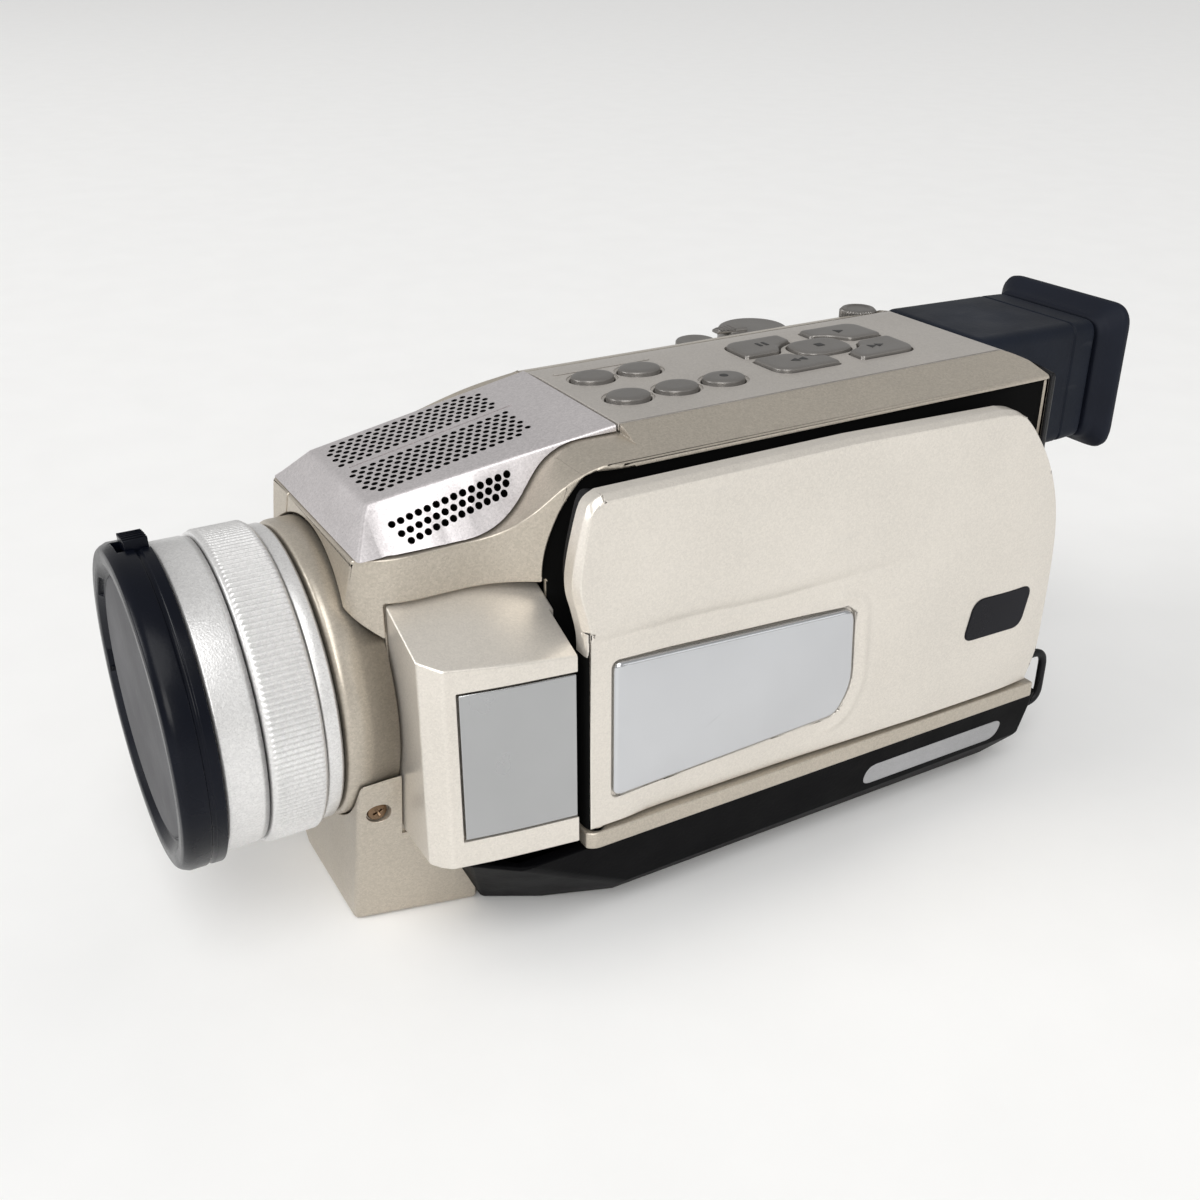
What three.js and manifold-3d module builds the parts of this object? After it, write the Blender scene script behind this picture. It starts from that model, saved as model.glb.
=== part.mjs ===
// A palm-size cassette camcorder. Millimetres, +Z up, lens pointing along -Y, screen on the +X side.
// Every shape is drawn in the lens frame: x = 0 and z = 0 on the lens axis, y = 0 at the back edge of the
// focus ring. The exported group then stands the part on z = 0, centred on its own footprint.
import * as THREE from "three";
import { ConvexGeometry } from "three/addons/geometries/ConvexGeometry.js";
import { mergeVertices } from "three/addons/utils/BufferGeometryUtils.js";
import Module from "manifold-3d";

const wasm = await Module();
wasm.setup();

// ---------------------------------------------------------------- driving dimensions
const GAP = 0.3; // clearance between neighbouring pieces
const WALL = 2; // thickness of the moulded shells
const GROUND = -42; // the table, below the lens axis
const DECK_TOP = 39.4;
const DECK_INNER_X = -10;
const DECK_OUTER_X = 21.4;
const MIC_REAR_Y = 50.3;
const BODY_FRONT_Y = 6;
const MIC_FRONT_Y = 8.2;
const BODY_REAR_Y = 134;
const REAR_COVER_Y = 131;
const BASE_TOP = -23.6;
const RECESS_X = 30.6; // wall behind the closed screen
const SIDE_X = -38; // hand side of the body

const RING_R = 25; // knurled focus ring
const RING_LENGTH = 8.4;
const BAND_R = 24;
const BARREL_R = 24.4;
const BARREL_FRONT_Y = -14.9;
const THREAD_R = 21.5;
const SLEEVE_R = 20.6;
const SLEEVE_BORE_R = 18.6;
const CAP_R = 25.6;
const CAP_BACK_Y = -15.2;
const CAP_FRONT_Y = -21.6;
const CAP_TAB_HALF = 7;
const SHROUD_R = 24.2;

const FRONT_TOP = -9.5; // joint between the lower front cover and the shells
const FRONT_REAR_Y = 25;

const BLOCK_FRONT_Y = 12;
const BLOCK_REAR_Y = 35.5;
const BLOCK_TOP = 18.4;
const BLOCK_EDGE_TOP = 11.6;
const BLOCK_BOTTOM = -21.6;
const BLOCK_INNER_X = 20.5;
const BLOCK_OUTER_X = 36.9;

const PANEL_FACE_X = 38;
const PANEL_BACK_X = 33.8;
const BEZEL_BACK_X = 31;
const PANEL_BOTTOM = -19.9;
const PANEL_TOP = 35.9;
const HINGE_X = 36;
const HINGE_Y = 38.1;
const PIN_R = 0.9;
const LIP_TOP = -20.3;
const LIP_BOTTOM = -23.3;

const FINDER_X = [-17, 11]; // viewfinder
const FINDER_Z = [12.5, 37.4];
const FINDER_FRONT_Y = 134.5;
const FINDER_REAR_Y = 165;
const EYECUP_REAR_Y = 172;
const EYE_AXIS = [-3, 25]; // x and z of the eyepiece

const CASSETTE = { x: [-27.5, -15.3], y: [45, 111], z: [-22, 26] };
const DOOR = { y: [43, 113], z: [-22.8, 27] };
const DRUM = { y: 78, z: -26.2, r: 10.85, x: [-26, -14.2] };
const SPOOL_Z = 4;
const SPOOLS = [
  ["supply_spindle", 64],
  ["takeup_spindle", 92],
];
const BATTERY = { x: [-24, 12], y: [134.9, 151], z: [-34, 8] };
const TRIPOD = [0, 62]; // x and y of the tripod thread
const SCREW = { y: 8, z: -16.4 };
const RECORD = { at: [20, 10], r: 5.6, travel: 1 };
const ZOOM = { y: 108, x: -24.5, r: 6.9 };
const PHOTO = { y: 93, x: -22, r: 3.9 };
const DIAL = { y: 126.2, x: -15, r: 4.2 };
const EJECT = { x: -20, y: 99, travel: 4 };
const JACKS = { y: [21.8, 33.2], z: [3.8, 12.2] };
const LATCH = { x: [-32.1, -27.9], z: [-11.7, -7.6], travel: 4 };

// ---------------------------------------------------------------- solids
function solid(geometry) {
  const bare = geometry.index ? geometry.clone() : geometry;
  bare.deleteAttribute("normal");
  bare.deleteAttribute("uv");
  const merged = mergeVertices(bare, 1e-4);
  return new wasm.Manifold(
    new wasm.Mesh({
      numProp: 3,
      vertProperties: new Float32Array(merged.attributes.position.array),
      triVerts: new Uint32Array(merged.index.array),
    }),
  );
}

function geometryOf(body) {
  const mesh = body.getMesh();
  const geometry = new THREE.BufferGeometry();
  geometry.setAttribute("position", new THREE.BufferAttribute(mesh.vertProperties, 3));
  geometry.setIndex(new THREE.BufferAttribute(mesh.triVerts, 1));
  geometry.computeVertexNormals();
  return geometry;
}

const join = (...bodies) => bodies.reduce((a, b) => a.add(b));
const cut = (body, ...tools) => tools.reduce((a, b) => a.subtract(b), body);
const common = (...bodies) => bodies.reduce((a, b) => a.intersect(b));

// A closed outline of [u, v] or [u, v, radius] corners. A corner takes at most half of its shorter side.
function outline(corners) {
  const shape = new THREE.Shape();
  corners.forEach(([u, v, radius = 0], i) => {
    const corner = new THREE.Vector2(u, v);
    const before = new THREE.Vector2(...corners.at(i - 1).slice(0, 2)).sub(corner);
    const after = new THREE.Vector2(...corners[(i + 1) % corners.length].slice(0, 2)).sub(corner);
    const reach = Math.min(radius, before.length() * 0.48, after.length() * 0.48);
    const start = corner.clone().addScaledVector(before.normalize(), reach);
    const end = corner.clone().addScaledVector(after.normalize(), reach);
    if (i === 0) shape.moveTo(start.x, start.y);
    else shape.lineTo(start.x, start.y);
    if (reach > 0) shape.quadraticCurveTo(u, v, end.x, end.y);
  });
  return shape;
}

// The same corners moved in by d, for the inside of a shell. Corners run anticlockwise.
function inset(corners, d) {
  const points = corners.map(([u, v]) => new THREE.Vector2(u, v));
  return points.map((p, i) => {
    const a = p.clone().sub(points.at(i - 1)).normalize();
    const b = points[(i + 1) % points.length].clone().sub(p).normalize();
    const turn = a.x * b.y - a.y * b.x;
    const shift = Math.abs(turn) < 1e-6 ? 0 : (1 - a.dot(b)) / turn;
    const radius = Math.max((corners[i][2] ?? 0) - d * 0.5, 0);
    return [p.x - d * a.y - d * shift * a.x, p.y + d * a.x - d * shift * a.y, radius];
  });
}

const AXES = {
  x: new THREE.Matrix4().set(0, 0, 1, 0, 1, 0, 0, 0, 0, 1, 0, 0, 0, 0, 0, 1),
  y: new THREE.Matrix4().set(1, 0, 0, 0, 0, 0, -1, 0, 0, 1, 0, 0, 0, 0, 0, 1),
  z: new THREE.Matrix4(),
};

// A prism along an axis. Outline corners are [y, z] for x, [x, z] for y and [x, y] for z.
function prism(axis, corners, low, high, curveSegments = 3) {
  const shape = corners instanceof THREE.Shape ? corners : outline(corners);
  const geometry = new THREE.ExtrudeGeometry(shape, {
    depth: high - low,
    bevelEnabled: false,
    curveSegments,
  });
  geometry.applyMatrix4(AXES[axis]);
  const along = { x: [low, 0, 0], y: [0, high, 0], z: [0, 0, low] }[axis];
  geometry.translate(...along);
  return solid(geometry);
}

const rect = (u0, u1, v0, v1, r = 0) => [
  [u0, v0, r],
  [u1, v0, r],
  [u1, v1, r],
  [u0, v1, r],
];

const box = (x0, x1, y0, y1, z0, z1) => prism("z", rect(x0, x1, y0, y1), z0, z1);

const hull = (points) =>
  solid(new ConvexGeometry(points.map((point) => new THREE.Vector3(...point))));

// A turned piece. The profile is [radius, distance along the axis] pairs, anticlockwise.
function turned(axis, profile, [x, y, z] = [0, 0, 0], segments = 48) {
  const points = profile.map(([r, h]) => new THREE.Vector2(r, h));
  if (profile[0][0] > 0) points.push(points[0].clone());
  const geometry = new THREE.LatheGeometry(points, segments);
  if (axis === "x") geometry.rotateZ(-Math.PI / 2);
  if (axis === "z") geometry.rotateX(Math.PI / 2);
  geometry.translate(x, y, z);
  return solid(geometry);
}

const rod = (axis, r, low, high, [u, v], segments = 24) => {
  const centre = { x: [0, u, v], y: [u, 0, v], z: [u, v, 0] }[axis];
  return turned(axis, [[0, low], [r, low], [r, high], [0, high]], centre, segments);
};

const ring = (axis, inner, outer, low, high, [u, v] = [0, 0], segments = 48) =>
  cut(
    rod(axis, outer, low, high, [u, v], segments),
    rod(axis, inner, low - 1, high + 1, [u, v], segments),
  );

// ---------------------------------------------------------------- the body that the shells are cut from
const SECTION = [
  [DECK_OUTER_X, DECK_TOP, 0.8],
  [DECK_INNER_X, DECK_TOP, 6],
  [-27, 33.2, 8],
  [SIDE_X, 20, 8],
  [SIDE_X, BASE_TOP + GAP],
  [RECESS_X, BASE_TOP + GAP],
  [RECESS_X, 36.9, 1],
];
const PLAN = [
  [-17, BODY_FRONT_Y, 5],
  [17.5, BODY_FRONT_Y, 5],
  [22, 13, 5],
  [22, 29, 6],
  [RECESS_X, 42, 6],
  [RECESS_X, BODY_REAR_Y, 3],
  [SIDE_X, BODY_REAR_Y, 7],
  [SIDE_X, 38, 12],
  [-22, 18, 8],
];
const PROFILE = [
  [BODY_FRONT_Y, -30],
  [BODY_REAR_Y, -30],
  [BODY_REAR_Y, 36, 5],
  [BODY_REAR_Y - 5, DECK_TOP + 0.2, 5],
  [MIC_REAR_Y + GAP, DECK_TOP + 0.2],
  [MIC_REAR_Y + GAP, 37.9],
  [40.5, 37.1, 6],
  [31, 26.3, 6],
  [MIC_FRONT_Y, 25.7, 0.6],
  [BODY_FRONT_Y, 13],
];

// The hand-side shoulder falls away towards the front, below the microphone cover's edge.
function shoulderClip(d) {
  const height = (x, y) => 40 + 0.158 * (y - 50.3) + 0.55 * (x + 10) - d * 1.1;
  return hull(
    [0, 140].flatMap((y) => [
      [-60, y, height(-60, y)],
      [60, y, height(60, y)],
      [-60, y, -60],
      [60, y, -60],
    ]),
  );
}

function bodyBlock(d) {
  return common(
    prism("y", inset(SECTION, d), BODY_FRONT_Y + d, BODY_REAR_Y - d, 4),
    prism("z", inset(PLAN, d), -30, 45, 4),
    prism("x", inset(PROFILE, d), -50, 50, 4),
    shoulderClip(d),
  );
}

const bodyShell = cut(
  bodyBlock(0),
  common(bodyBlock(WALL), box(-60, 60, BODY_FRONT_Y + 3.4, 140, -60, 60)),
  box(-35.5, 28.3, 12, 131.8, -40, -20),
);

// The wedge that the microphone cover fills, on top of the body's sunken front.
function micWedge() {
  const above = [
    [MIC_FRONT_Y - 4, 25.7 + GAP],
    [MIC_FRONT_Y, 25.7 + GAP],
    [31 - GAP, 26.3 + GAP, 6],
    [40.5 - GAP, 37.1 + GAP, 6],
    [MIC_REAR_Y, 37.9 + GAP],
    [MIC_REAR_Y, 50],
    [MIC_FRONT_Y - 4, 50],
  ];
  return common(
    prism("x", above, -60, 60, 5),
    hull([
      [17.6, MIC_FRONT_Y, 25.9],
      [19.6, MIC_FRONT_Y + 1, 25.9],
      [20.6, MIC_FRONT_Y + 3.4, 26],
      [21.9, 30, 26.2],
      [21.9, 42, 37],
      [21.6, MIC_REAR_Y, 37.8],
      [DECK_OUTER_X - 0.6, MIC_REAR_Y, 39.2],
      [14.6, 14.4, 31],
      [12.4, 12.4, 31],
      [12.4, 13.8, 32],
      [-9.4, 13.8, 32],
      [-9.4, 12.4, 31],
      [-11.4, 14.4, 31],
      [DECK_INNER_X, MIC_REAR_Y, 39.2],
      [-16.5, MIC_FRONT_Y, 25.9],
      [-19.2, MIC_FRONT_Y + 3.4, 26],
      [-21.5, 30, 26.2],
      [-16, MIC_REAR_Y, 37.4],
    ]),
  );
}

// ---------------------------------------------------------------- openings that neighbouring pieces share
const blockPocket = box(
  BLOCK_INNER_X - GAP,
  60,
  BLOCK_FRONT_Y - GAP,
  BLOCK_REAR_Y + GAP,
  -40,
  BLOCK_TOP + GAP,
);
const frontPocket = box(-60, 60, 0, 17.3, -40, FRONT_TOP + GAP);
const lensBore = rod("y", SHROUD_R + GAP, -5, BLOCK_FRONT_Y - GAP, [0, 0], 48);
const sleeveBore = rod("y", SLEEVE_R + 0.5, -5, 14, [0, 0], 48);

// The deck drops onto a ledge, and its buttons reach through the opening inside that ledge.
const DECK_THICKNESS = 1.2;
const deckPocket = join(
  box(DECK_INNER_X - GAP, DECK_OUTER_X - 0.1, MIC_REAR_Y - 0.1, 131, DECK_TOP - DECK_THICKNESS - GAP, 60),
  box(DECK_INNER_X + 1.5, DECK_OUTER_X - 1.8, MIC_REAR_Y + 1.5, 129, 30, 60),
);

// Where the lens neck, the front cover and the hinge block meet.
const neckRelief = box(19.5, 23, 9.9, BLOCK_FRONT_Y, FRONT_TOP - 1, FRONT_TOP + 2.1);

// The two shells meet along the deck's inner edge.
const SPLIT_X = DECK_INNER_X;
const screenHalf = box(SPLIT_X + GAP / 2, 60, 0, REAR_COVER_Y, -60, 60);
const handHalf = box(-60, SPLIT_X - GAP / 2, 0, REAR_COVER_Y, -60, 60);

const doorRegion = (g) =>
  box(-60, -20, DOOR.y[0] - g, DOOR.y[1] + g, DOOR.z[0] - g, DOOR.z[1] + g);

const jackRegion = (g) =>
  box(-60, -20, JACKS.y[0] - g, JACKS.y[1] + g, JACKS.z[0] - g, JACKS.z[1] + g);

// ---------------------------------------------------------------- shells and covers

function leftShell() {
  const lip = prism(
    "z",
    [
      [28.6, 34.4],
      [PANEL_FACE_X - 2, 34.4, 1],
      [PANEL_FACE_X, 37, 1],
      [PANEL_FACE_X, 130.9],
      [28.6, 130.9],
    ],
    LIP_BOTTOM,
    LIP_TOP,
  );
  return cut(
    join(common(bodyShell, screenHalf), lip),
    deckPocket,
    blockPocket,
    frontPocket,
    neckRelief,
    lensBore,
    sleeveBore,
    rod("z", PIN_R + GAP, -30, -15, [HINGE_X, HINGE_Y], 16),
  );
}

function rightShell() {
  return cut(
    common(bodyShell, handHalf),
    frontPocket,
    lensBore,
    sleeveBore,
    doorRegion(0.5),
    ...[ZOOM, PHOTO, DIAL].map(({ x, y, r }) => rod("z", r + 0.4, 20, 60, [x, y], 28)),
    jackRegion(GAP),
  );
}

// The door over the tape, with two slotted lugs that the hand strap is stitched to.
function cassetteDoor() {
  const panel = common(bodyShell, doorRegion(0));
  const lugs = [45.5, 108].map((y) =>
    cut(
      box(SIDE_X - 5, SIDE_X + 1, y, y + 2.6, -13, 15),
      box(SIDE_X - 3.6, SIDE_X - 1.6, y - 1, y + 4, -10, 12),
    ),
  );
  return join(panel, ...lugs);
}

function rearCover() {
  const slab = common(
    join(bodyShell, common(bodyBlock(0), box(-50, 50, 131.5, 140, -60, 60))),
    box(-50, 50, REAR_COVER_Y + GAP, 140, -60, 60),
  );
  return cut(
    slab,
    box(-13, 7, 120, 140, 16.5, 33.5),
    rod("y", RECORD.r + 0.4, 120, 140, RECORD.at, 28),
    box(LATCH.x[0] - GAP, LATCH.x[1] + GAP, 120, 140, -12, LATCH.z[1] + LATCH.travel + 0.6),
    box(27.7, 29.9, 120, 140, -24, -20.3),
  );
}

function topDeck() {
  const corners = [
    [DECK_INNER_X, MIC_REAR_Y + GAP],
    [DECK_OUTER_X - GAP, MIC_REAR_Y + GAP],
    [DECK_OUTER_X - GAP, 130.7],
    [DECK_INNER_X, 130.7],
  ];
  const plate = common(prism("z", corners, DECK_TOP - DECK_THICKNESS, 45), bodyBlock(0));
  const ovals = OVALS.map(([, x, y]) => prism("z", ovalOutline(x, y, GAP), 30, 45, 5));
  const keys = KEYS.map(([, sx, sy]) => prism("z", keyOutline(sx, sy, GAP), 30, 45, 3));
  return cut(plate, ...ovals, ...keys);
}

// ---------------------------------------------------------------- deck buttons
const OVALS = [
  ["light_button", 11.2, 58.2],
  ["stabiliser_button", 11.2, 67.3],
  ["fade_button", 11.2, 76.4],
  ["auto_button", 0, 58],
  ["focus_button", 0, 67],
];
// The tape keys: four around an oval one. The numbers give the side of the centre each key lies on.
const KEYS = [
  ["pause_key", -1, -1],
  ["rewind_key", 1, -1],
  ["stop_key", 0, 0],
  ["play_key", -1, 1],
  ["forward_key", 1, 1],
];
const KEY_CENTRE = [4.8, 101];
const CORNER_KEY = [
  [0.9, 7.9, 0.8],
  [3.9, 5.9, 1.4],
  [5.4, 2.4, 0.6],
  [9.1, 2.4, 0.8],
  [9.1, 14.6, 3],
  [0.9, 14.8, 0.8],
];

const ovalOutline = (x, y, g) => rect(x - 3.1 - g, x + 3.1 + g, y - 3.7 - g, y + 3.7 + g, 3 + g);

function keyOutline(sx, sy, g) {
  const [x, y] = KEY_CENTRE;
  if (!sx) return rect(x - 4.1 - g, x + 4.1 + g, y - 5.4 - g, y + 5.4 + g, 3.6 + g);
  return inset(CORNER_KEY, -g).map(([u, v, radius]) => [x + sx * u, y + sy * v, radius]);
}

// A cap that shows above the deck, on a skirt that keeps it from falling out.
function button(shape, skirt) {
  return join(
    prism("z", shape, DECK_TOP - 2.6, DECK_TOP + 1, 5),
    prism("z", skirt, DECK_TOP - 4.2, DECK_TOP - 2.6, 5),
  );
}

// ---------------------------------------------------------------- lens
const lensBarrel = () =>
  turned("y", [
    [THREAD_R, BARREL_FRONT_Y],
    [BARREL_R - 0.5, BARREL_FRONT_Y],
    [BARREL_R, BARREL_FRONT_Y + 0.5],
    [BARREL_R, -RING_LENGTH - GAP],
    [SLEEVE_R, -RING_LENGTH - GAP],
    [SLEEVE_R, 11.4],
    [SLEEVE_BORE_R, 11.4],
    [SLEEVE_BORE_R, -9],
    [THREAD_R, -9],
  ]);

// The knurl's teeth are left to the surface finish; the ring keeps its coarse facets.
const focusRing = () =>
  turned(
    "y",
    [
      [SLEEVE_R + 0.35, -RING_LENGTH],
      [RING_R - 0.5, -RING_LENGTH],
      [RING_R, -RING_LENGTH + 0.5],
      [RING_R, -0.5],
      [RING_R - 0.5, 0],
      [SLEEVE_R + 0.35, 0],
    ],
    [0, 0, 0],
    60,
  );

const rearBand = () => ring("y", SLEEVE_R + GAP, BAND_R, 0.3, 2.8);
const lensShroud = () =>
  turned("y", [
    [SLEEVE_R + GAP, 3.3],
    [SHROUD_R - 0.8, 3.3],
    [SHROUD_R, 4.1],
    [SHROUD_R, BLOCK_FRONT_Y - 2 * GAP],
    [SLEEVE_R + GAP, BLOCK_FRONT_Y - 2 * GAP],
  ]);

const frontGlass = () =>
  turned("y", [[0, -5.6], [8, -5.1], [14, -3.8], [18.2, -2], [18.2, 0.6], [0, 0.6]], [0, 0, 0], 40);

const innerTube = () =>
  cut(
    rod("y", 18.2, 1, 32, [0, 0], 40),
    rod("y", 15.6, -1, 30, [0, 0], 32),
    box(-9, 9, 28, 40, -7, 7),
  );

const imageSensor = () =>
  join(box(-13, 13, 34.5, 38.5, -11, 11), box(-8.4, 8.4, 30.6, 34.5, -6.4, 6.4));

function lensCap() {
  const body = turned("y", [
    [0, CAP_FRONT_Y + 1.2],
    [21, CAP_FRONT_Y + 1.2],
    [22, CAP_FRONT_Y],
    [CAP_R - 1.1, CAP_FRONT_Y],
    [CAP_R, CAP_FRONT_Y + 1.1],
    [CAP_R, CAP_BACK_Y],
    [THREAD_R - 1.5, CAP_BACK_Y],
    [THREAD_R - 1.5, CAP_BACK_Y + 3],
    [0, CAP_BACK_Y + 3],
  ]);
  return cut(body, capTabSlot(1), capTabSlot(-1));
}

// The notch at the top or bottom of the cap that its finger tab slides in.
function capTabSlot(side) {
  const z = side > 0 ? [17.4, 40] : [-40, -17.4];
  return box(-CAP_TAB_HALF - GAP, CAP_TAB_HALF + GAP, -20, -10, ...z);
}

function capTab(side) {
  const block = common(
    box(-CAP_TAB_HALF, CAP_TAB_HALF, -19.7, CAP_BACK_Y - GAP, 19.6, 30),
    rod("y", CAP_R + 1.4, -25, -10, [0, 0], 48),
  );
  return side > 0 ? block : block.rotate([0, 180, 0]);
}

// ---------------------------------------------------------------- microphone cover
function micCover() {
  const room = hull([
    [16.6, 10.5, 20],
    [19.8, 33, 20],
    [19, 46, 36.4],
    [11.4, 15, 29.6],
    [-8.4, 15, 29.6],
    [-9, 46, 36.4],
    [-15, 10.5, 20],
    [-19, 33, 20],
  ]);
  return cut(micWedge(), room);
}

const microphone = () =>
  join(
    box(-9, 9, 15.2, 23.6, 26.4, 27.2),
    rod("z", 3.6, 27.2, 28.8, [-4.4, 19.4], 20),
    rod("z", 3.6, 27.2, 28.8, [4.4, 19.4], 20),
  );

// ---------------------------------------------------------------- lower front and base
function frontBlock(g) {
  return hull([
    [13.6 + g, 4.8 - g, GROUND - g],
    [18.4 + g, FRONT_REAR_Y + g, GROUND - g],
    [22.6 + g, 4.8 - g, FRONT_TOP],
    [23.4 + g, FRONT_REAR_Y + g, FRONT_TOP],
    [-10.5 - g, 4.8 - g, GROUND - g],
    [-17 - g, FRONT_REAR_Y + g, GROUND - g],
    [-17.5 - g, 4.8 - g, -34],
    [-22 - g, FRONT_REAR_Y + g, -34],
    [-20 - g, 4.8 - g, FRONT_TOP],
    [-21.5 - g, FRONT_REAR_Y + g, FRONT_TOP],
  ]);
}

function frontCover() {
  const room = hull([
    [11, 7, GROUND + 2.2],
    [16, 40, GROUND + 2.2],
    [17, 7, FRONT_TOP + 9],
    [17.6, 40, FRONT_TOP + 9],
    [-9, 7, GROUND + 2.2],
    [-14.6, 40, GROUND + 2.2],
    [-15.4, 7, -33.5],
    [-19.8, 40, -33.5],
    [-17.6, 7, FRONT_TOP + 9],
    [-19.2, 40, FRONT_TOP + 9],
  ]);
  return cut(
    frontBlock(0),
    room,
    box(-60, 60, 17, 60, BASE_TOP, 20),
    lensBore,
    sleeveBore,
    box(BLOCK_INNER_X - GAP, 60, BLOCK_FRONT_Y - GAP, 60, BLOCK_BOTTOM - GAP, 20),
    rod("x", 1.9, 20.1, 30, [SCREW.y, SCREW.z], 20),
    rod("x", 1, 10, 30, [SCREW.y, SCREW.z], 16),
  );
}

function frontScrew() {
  const head = join(
    rod("x", 1.65, 20.2, 20.9, [SCREW.y, SCREW.z], 20),
    rod("x", 0.7, 19.3, 20.2, [SCREW.y, SCREW.z], 12),
  );
  const slot = box(20.5, 22, SCREW.y - 1, SCREW.y + 1, SCREW.z - 0.2, SCREW.z + 0.2);
  return cut(head, slot);
}

const BASE_FRONT_Y = 17.4;

function baseBlock(d) {
  const half = [
    [21 - d, BASE_FRONT_Y + d, BASE_TOP],
    [31.5 - d, BASE_FRONT_Y + 1 + d, BASE_TOP],
    [36.6 - d, 25, BASE_TOP],
    [36.8 - d, BODY_REAR_Y - d, BASE_TOP],
    [18.6 - d, 25.6 + d, GROUND + d],
    [23.6 - d, 34.5, GROUND + d],
    [27.6 - d, 46, GROUND + d],
    [27.8 - d, 131 - d, GROUND + d],
    [33.4 - d, 44, -36 + d],
    [33.6 - d, 134.6 - d, -35 + d],
  ];
  return hull([...half, ...half.map(([x, y, z]) => [-x, y, z])]);
}

function baseCover() {
  const inside = baseBlock(WALL).translate([0, 0, 0.02]);
  const boss = rod("z", 8, GROUND + 1, -34, TRIPOD, 28);
  const loopAnchor = box(31.5, 36, 129, BODY_REAR_Y - 0.2, -35, BASE_TOP);
  return cut(
    join(cut(baseBlock(0), inside), common(join(boss, loopAnchor), baseBlock(0))),
    frontBlock(GAP),
    rod("z", 5.3, -60, -36, TRIPOD, 28),
    box(27.6, 30, 130.6, 140, -34, -23),
    ejectSlot,
  );
}

const tripodSocket = () =>
  cut(rod("z", 5, GROUND + 0.4, -36.4, TRIPOD, 24), rod("z", 3.2, -60, -37.6, TRIPOD, 20));

// A wire D at the back corner, for a shoulder strap.
function strapLoop() {
  const wire = 1.6;
  return cut(
    prism("x", rect(131, 144.5, -33.5, -20.6, 2.5), 28, 28 + wire, 4),
    prism("x", rect(133.4, 144.5 - wire, -33.5 + wire, -20.6 - wire, 1.5), 20, 40, 4),
  );
}

// ---------------------------------------------------------------- hinge block and screen
const BLOCK_PLAN = [
  [BLOCK_INNER_X, BLOCK_FRONT_Y],
  [31.2, BLOCK_FRONT_Y, 0.5],
  [33.6, 14.8, 0.5],
  [35.4, 24, 10],
  [BLOCK_OUTER_X, BLOCK_REAR_Y, 0.6],
  [BLOCK_INNER_X, BLOCK_REAR_Y],
];

function hingeBlock() {
  const upright = prism("z", BLOCK_PLAN, BLOCK_BOTTOM, BLOCK_TOP, 5);
  const roof = prism(
    "y",
    [
      [10, -50],
      [50, -50],
      [50, BLOCK_EDGE_TOP - 5],
      [BLOCK_OUTER_X, BLOCK_EDGE_TOP],
      [BLOCK_INNER_X, BLOCK_TOP],
      [10, BLOCK_TOP],
    ],
    0,
    60,
  );
  return cut(common(upright, roof), trimBand(GAP));
}

// The strip of curved trim let into the block's outer face.
function trimBand(g) {
  return cut(
    prism("z", BLOCK_PLAN, -16.6 - g, 8.6 + g, 5),
    prism("z", inset(BLOCK_PLAN, 1 + g), -30, 30, 5),
    box(0, 31.4 - g, 0, 60, -40, 40),
    box(0, 60, BLOCK_REAR_Y - 0.9 + g, 60, -40, 40),
    box(0, 60, 0, 17 - g, -40, 40),
  );
}

function panelOutline(d) {
  const shape = new THREE.Shape();
  shape.moveTo(36 + d, PANEL_BOTTOM + d);
  shape.lineTo(129.6 - d, PANEL_BOTTOM + d);
  shape.splineThru(
    [
      [131.4, -14],
      [131.8, -8],
      [131.8, 5],
      [130.6, 14],
      [127.4, 22.6],
      [122.9, 29.6],
      [118.6, 34],
      [114.6, 35.2],
    ].map(([y, z]) => new THREE.Vector2(y - d, z - d)),
  );
  shape.lineTo(83, PANEL_TOP + 0.2 - d);
  shape.lineTo(39 + d, PANEL_TOP - d);
  shape.splineThru(
    [
      [36.8, 34.4],
      [35.3, 29.6],
      [34.3, 24.6],
      [34.3, 21],
      [35.2, 17.4],
      [36, 13.4],
      [36, 9],
    ].map(([y, z]) => new THREE.Vector2(y + d, z)),
  );
  return shape;
}

const hingeRounding = cut(
  box(HINGE_X, 60, 20, HINGE_Y, -60, 15),
  rod("z", HINGE_Y - 36, -60, 15, [HINGE_X, HINGE_Y], 24),
);
const pinHole = rod("z", PIN_R + 0.35, -30, -8, [HINGE_X, HINGE_Y], 16);

const PLATE = [
  [40.2, -15.2, 1.5],
  [84, -13.4, 2],
  [87, -8, 6],
  [86.2, 7, 2.5],
  [40.2, 9.4, 1.5],
];

function lcdCover() {
  const slab = prism("x", panelOutline(0), PANEL_BACK_X, PANEL_FACE_X, 5);
  const topBevel = prism(
    "y",
    [
      [PANEL_FACE_X - 3.2, 40],
      [PANEL_FACE_X - 3.2, PANEL_TOP + 0.3],
      [PANEL_FACE_X + 0.5, PANEL_TOP - 1],
      [PANEL_FACE_X + 5, PANEL_TOP],
      [PANEL_FACE_X + 5, 45],
    ],
    30,
    140,
  );
  const tabOutline = rect(130.5, 133.1, -6.4, -0.6, 1);
  const fingerTab = prism("x", tabOutline, PANEL_BACK_X + 0.5, PANEL_FACE_X - 0.6, 3);
  const plateSeat = prism("x", PLATE, PANEL_FACE_X - 0.9, 60, 4);
  const electronics = prism("x", panelOutline(3.2), 20, PANEL_BACK_X + 1.4, 3);
  const keepHinge = box(30, 40, 30, 43, -60, 60);
  return cut(
    join(slab, fingerTab),
    topBevel,
    plateSeat,
    hingeRounding,
    pinHole,
    cut(electronics, keepHinge),
  );
}

// The plate let into the screen's cover, very slightly domed.
function lcdTrim() {
  const dome = 260;
  return common(
    prism("x", inset(PLATE, GAP), PANEL_FACE_X - 0.6, PANEL_FACE_X + 0.5, 4),
    rod("z", dome, -60, 60, [PANEL_FACE_X + 0.5 - dome, 63], 360),
  );
}

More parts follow.
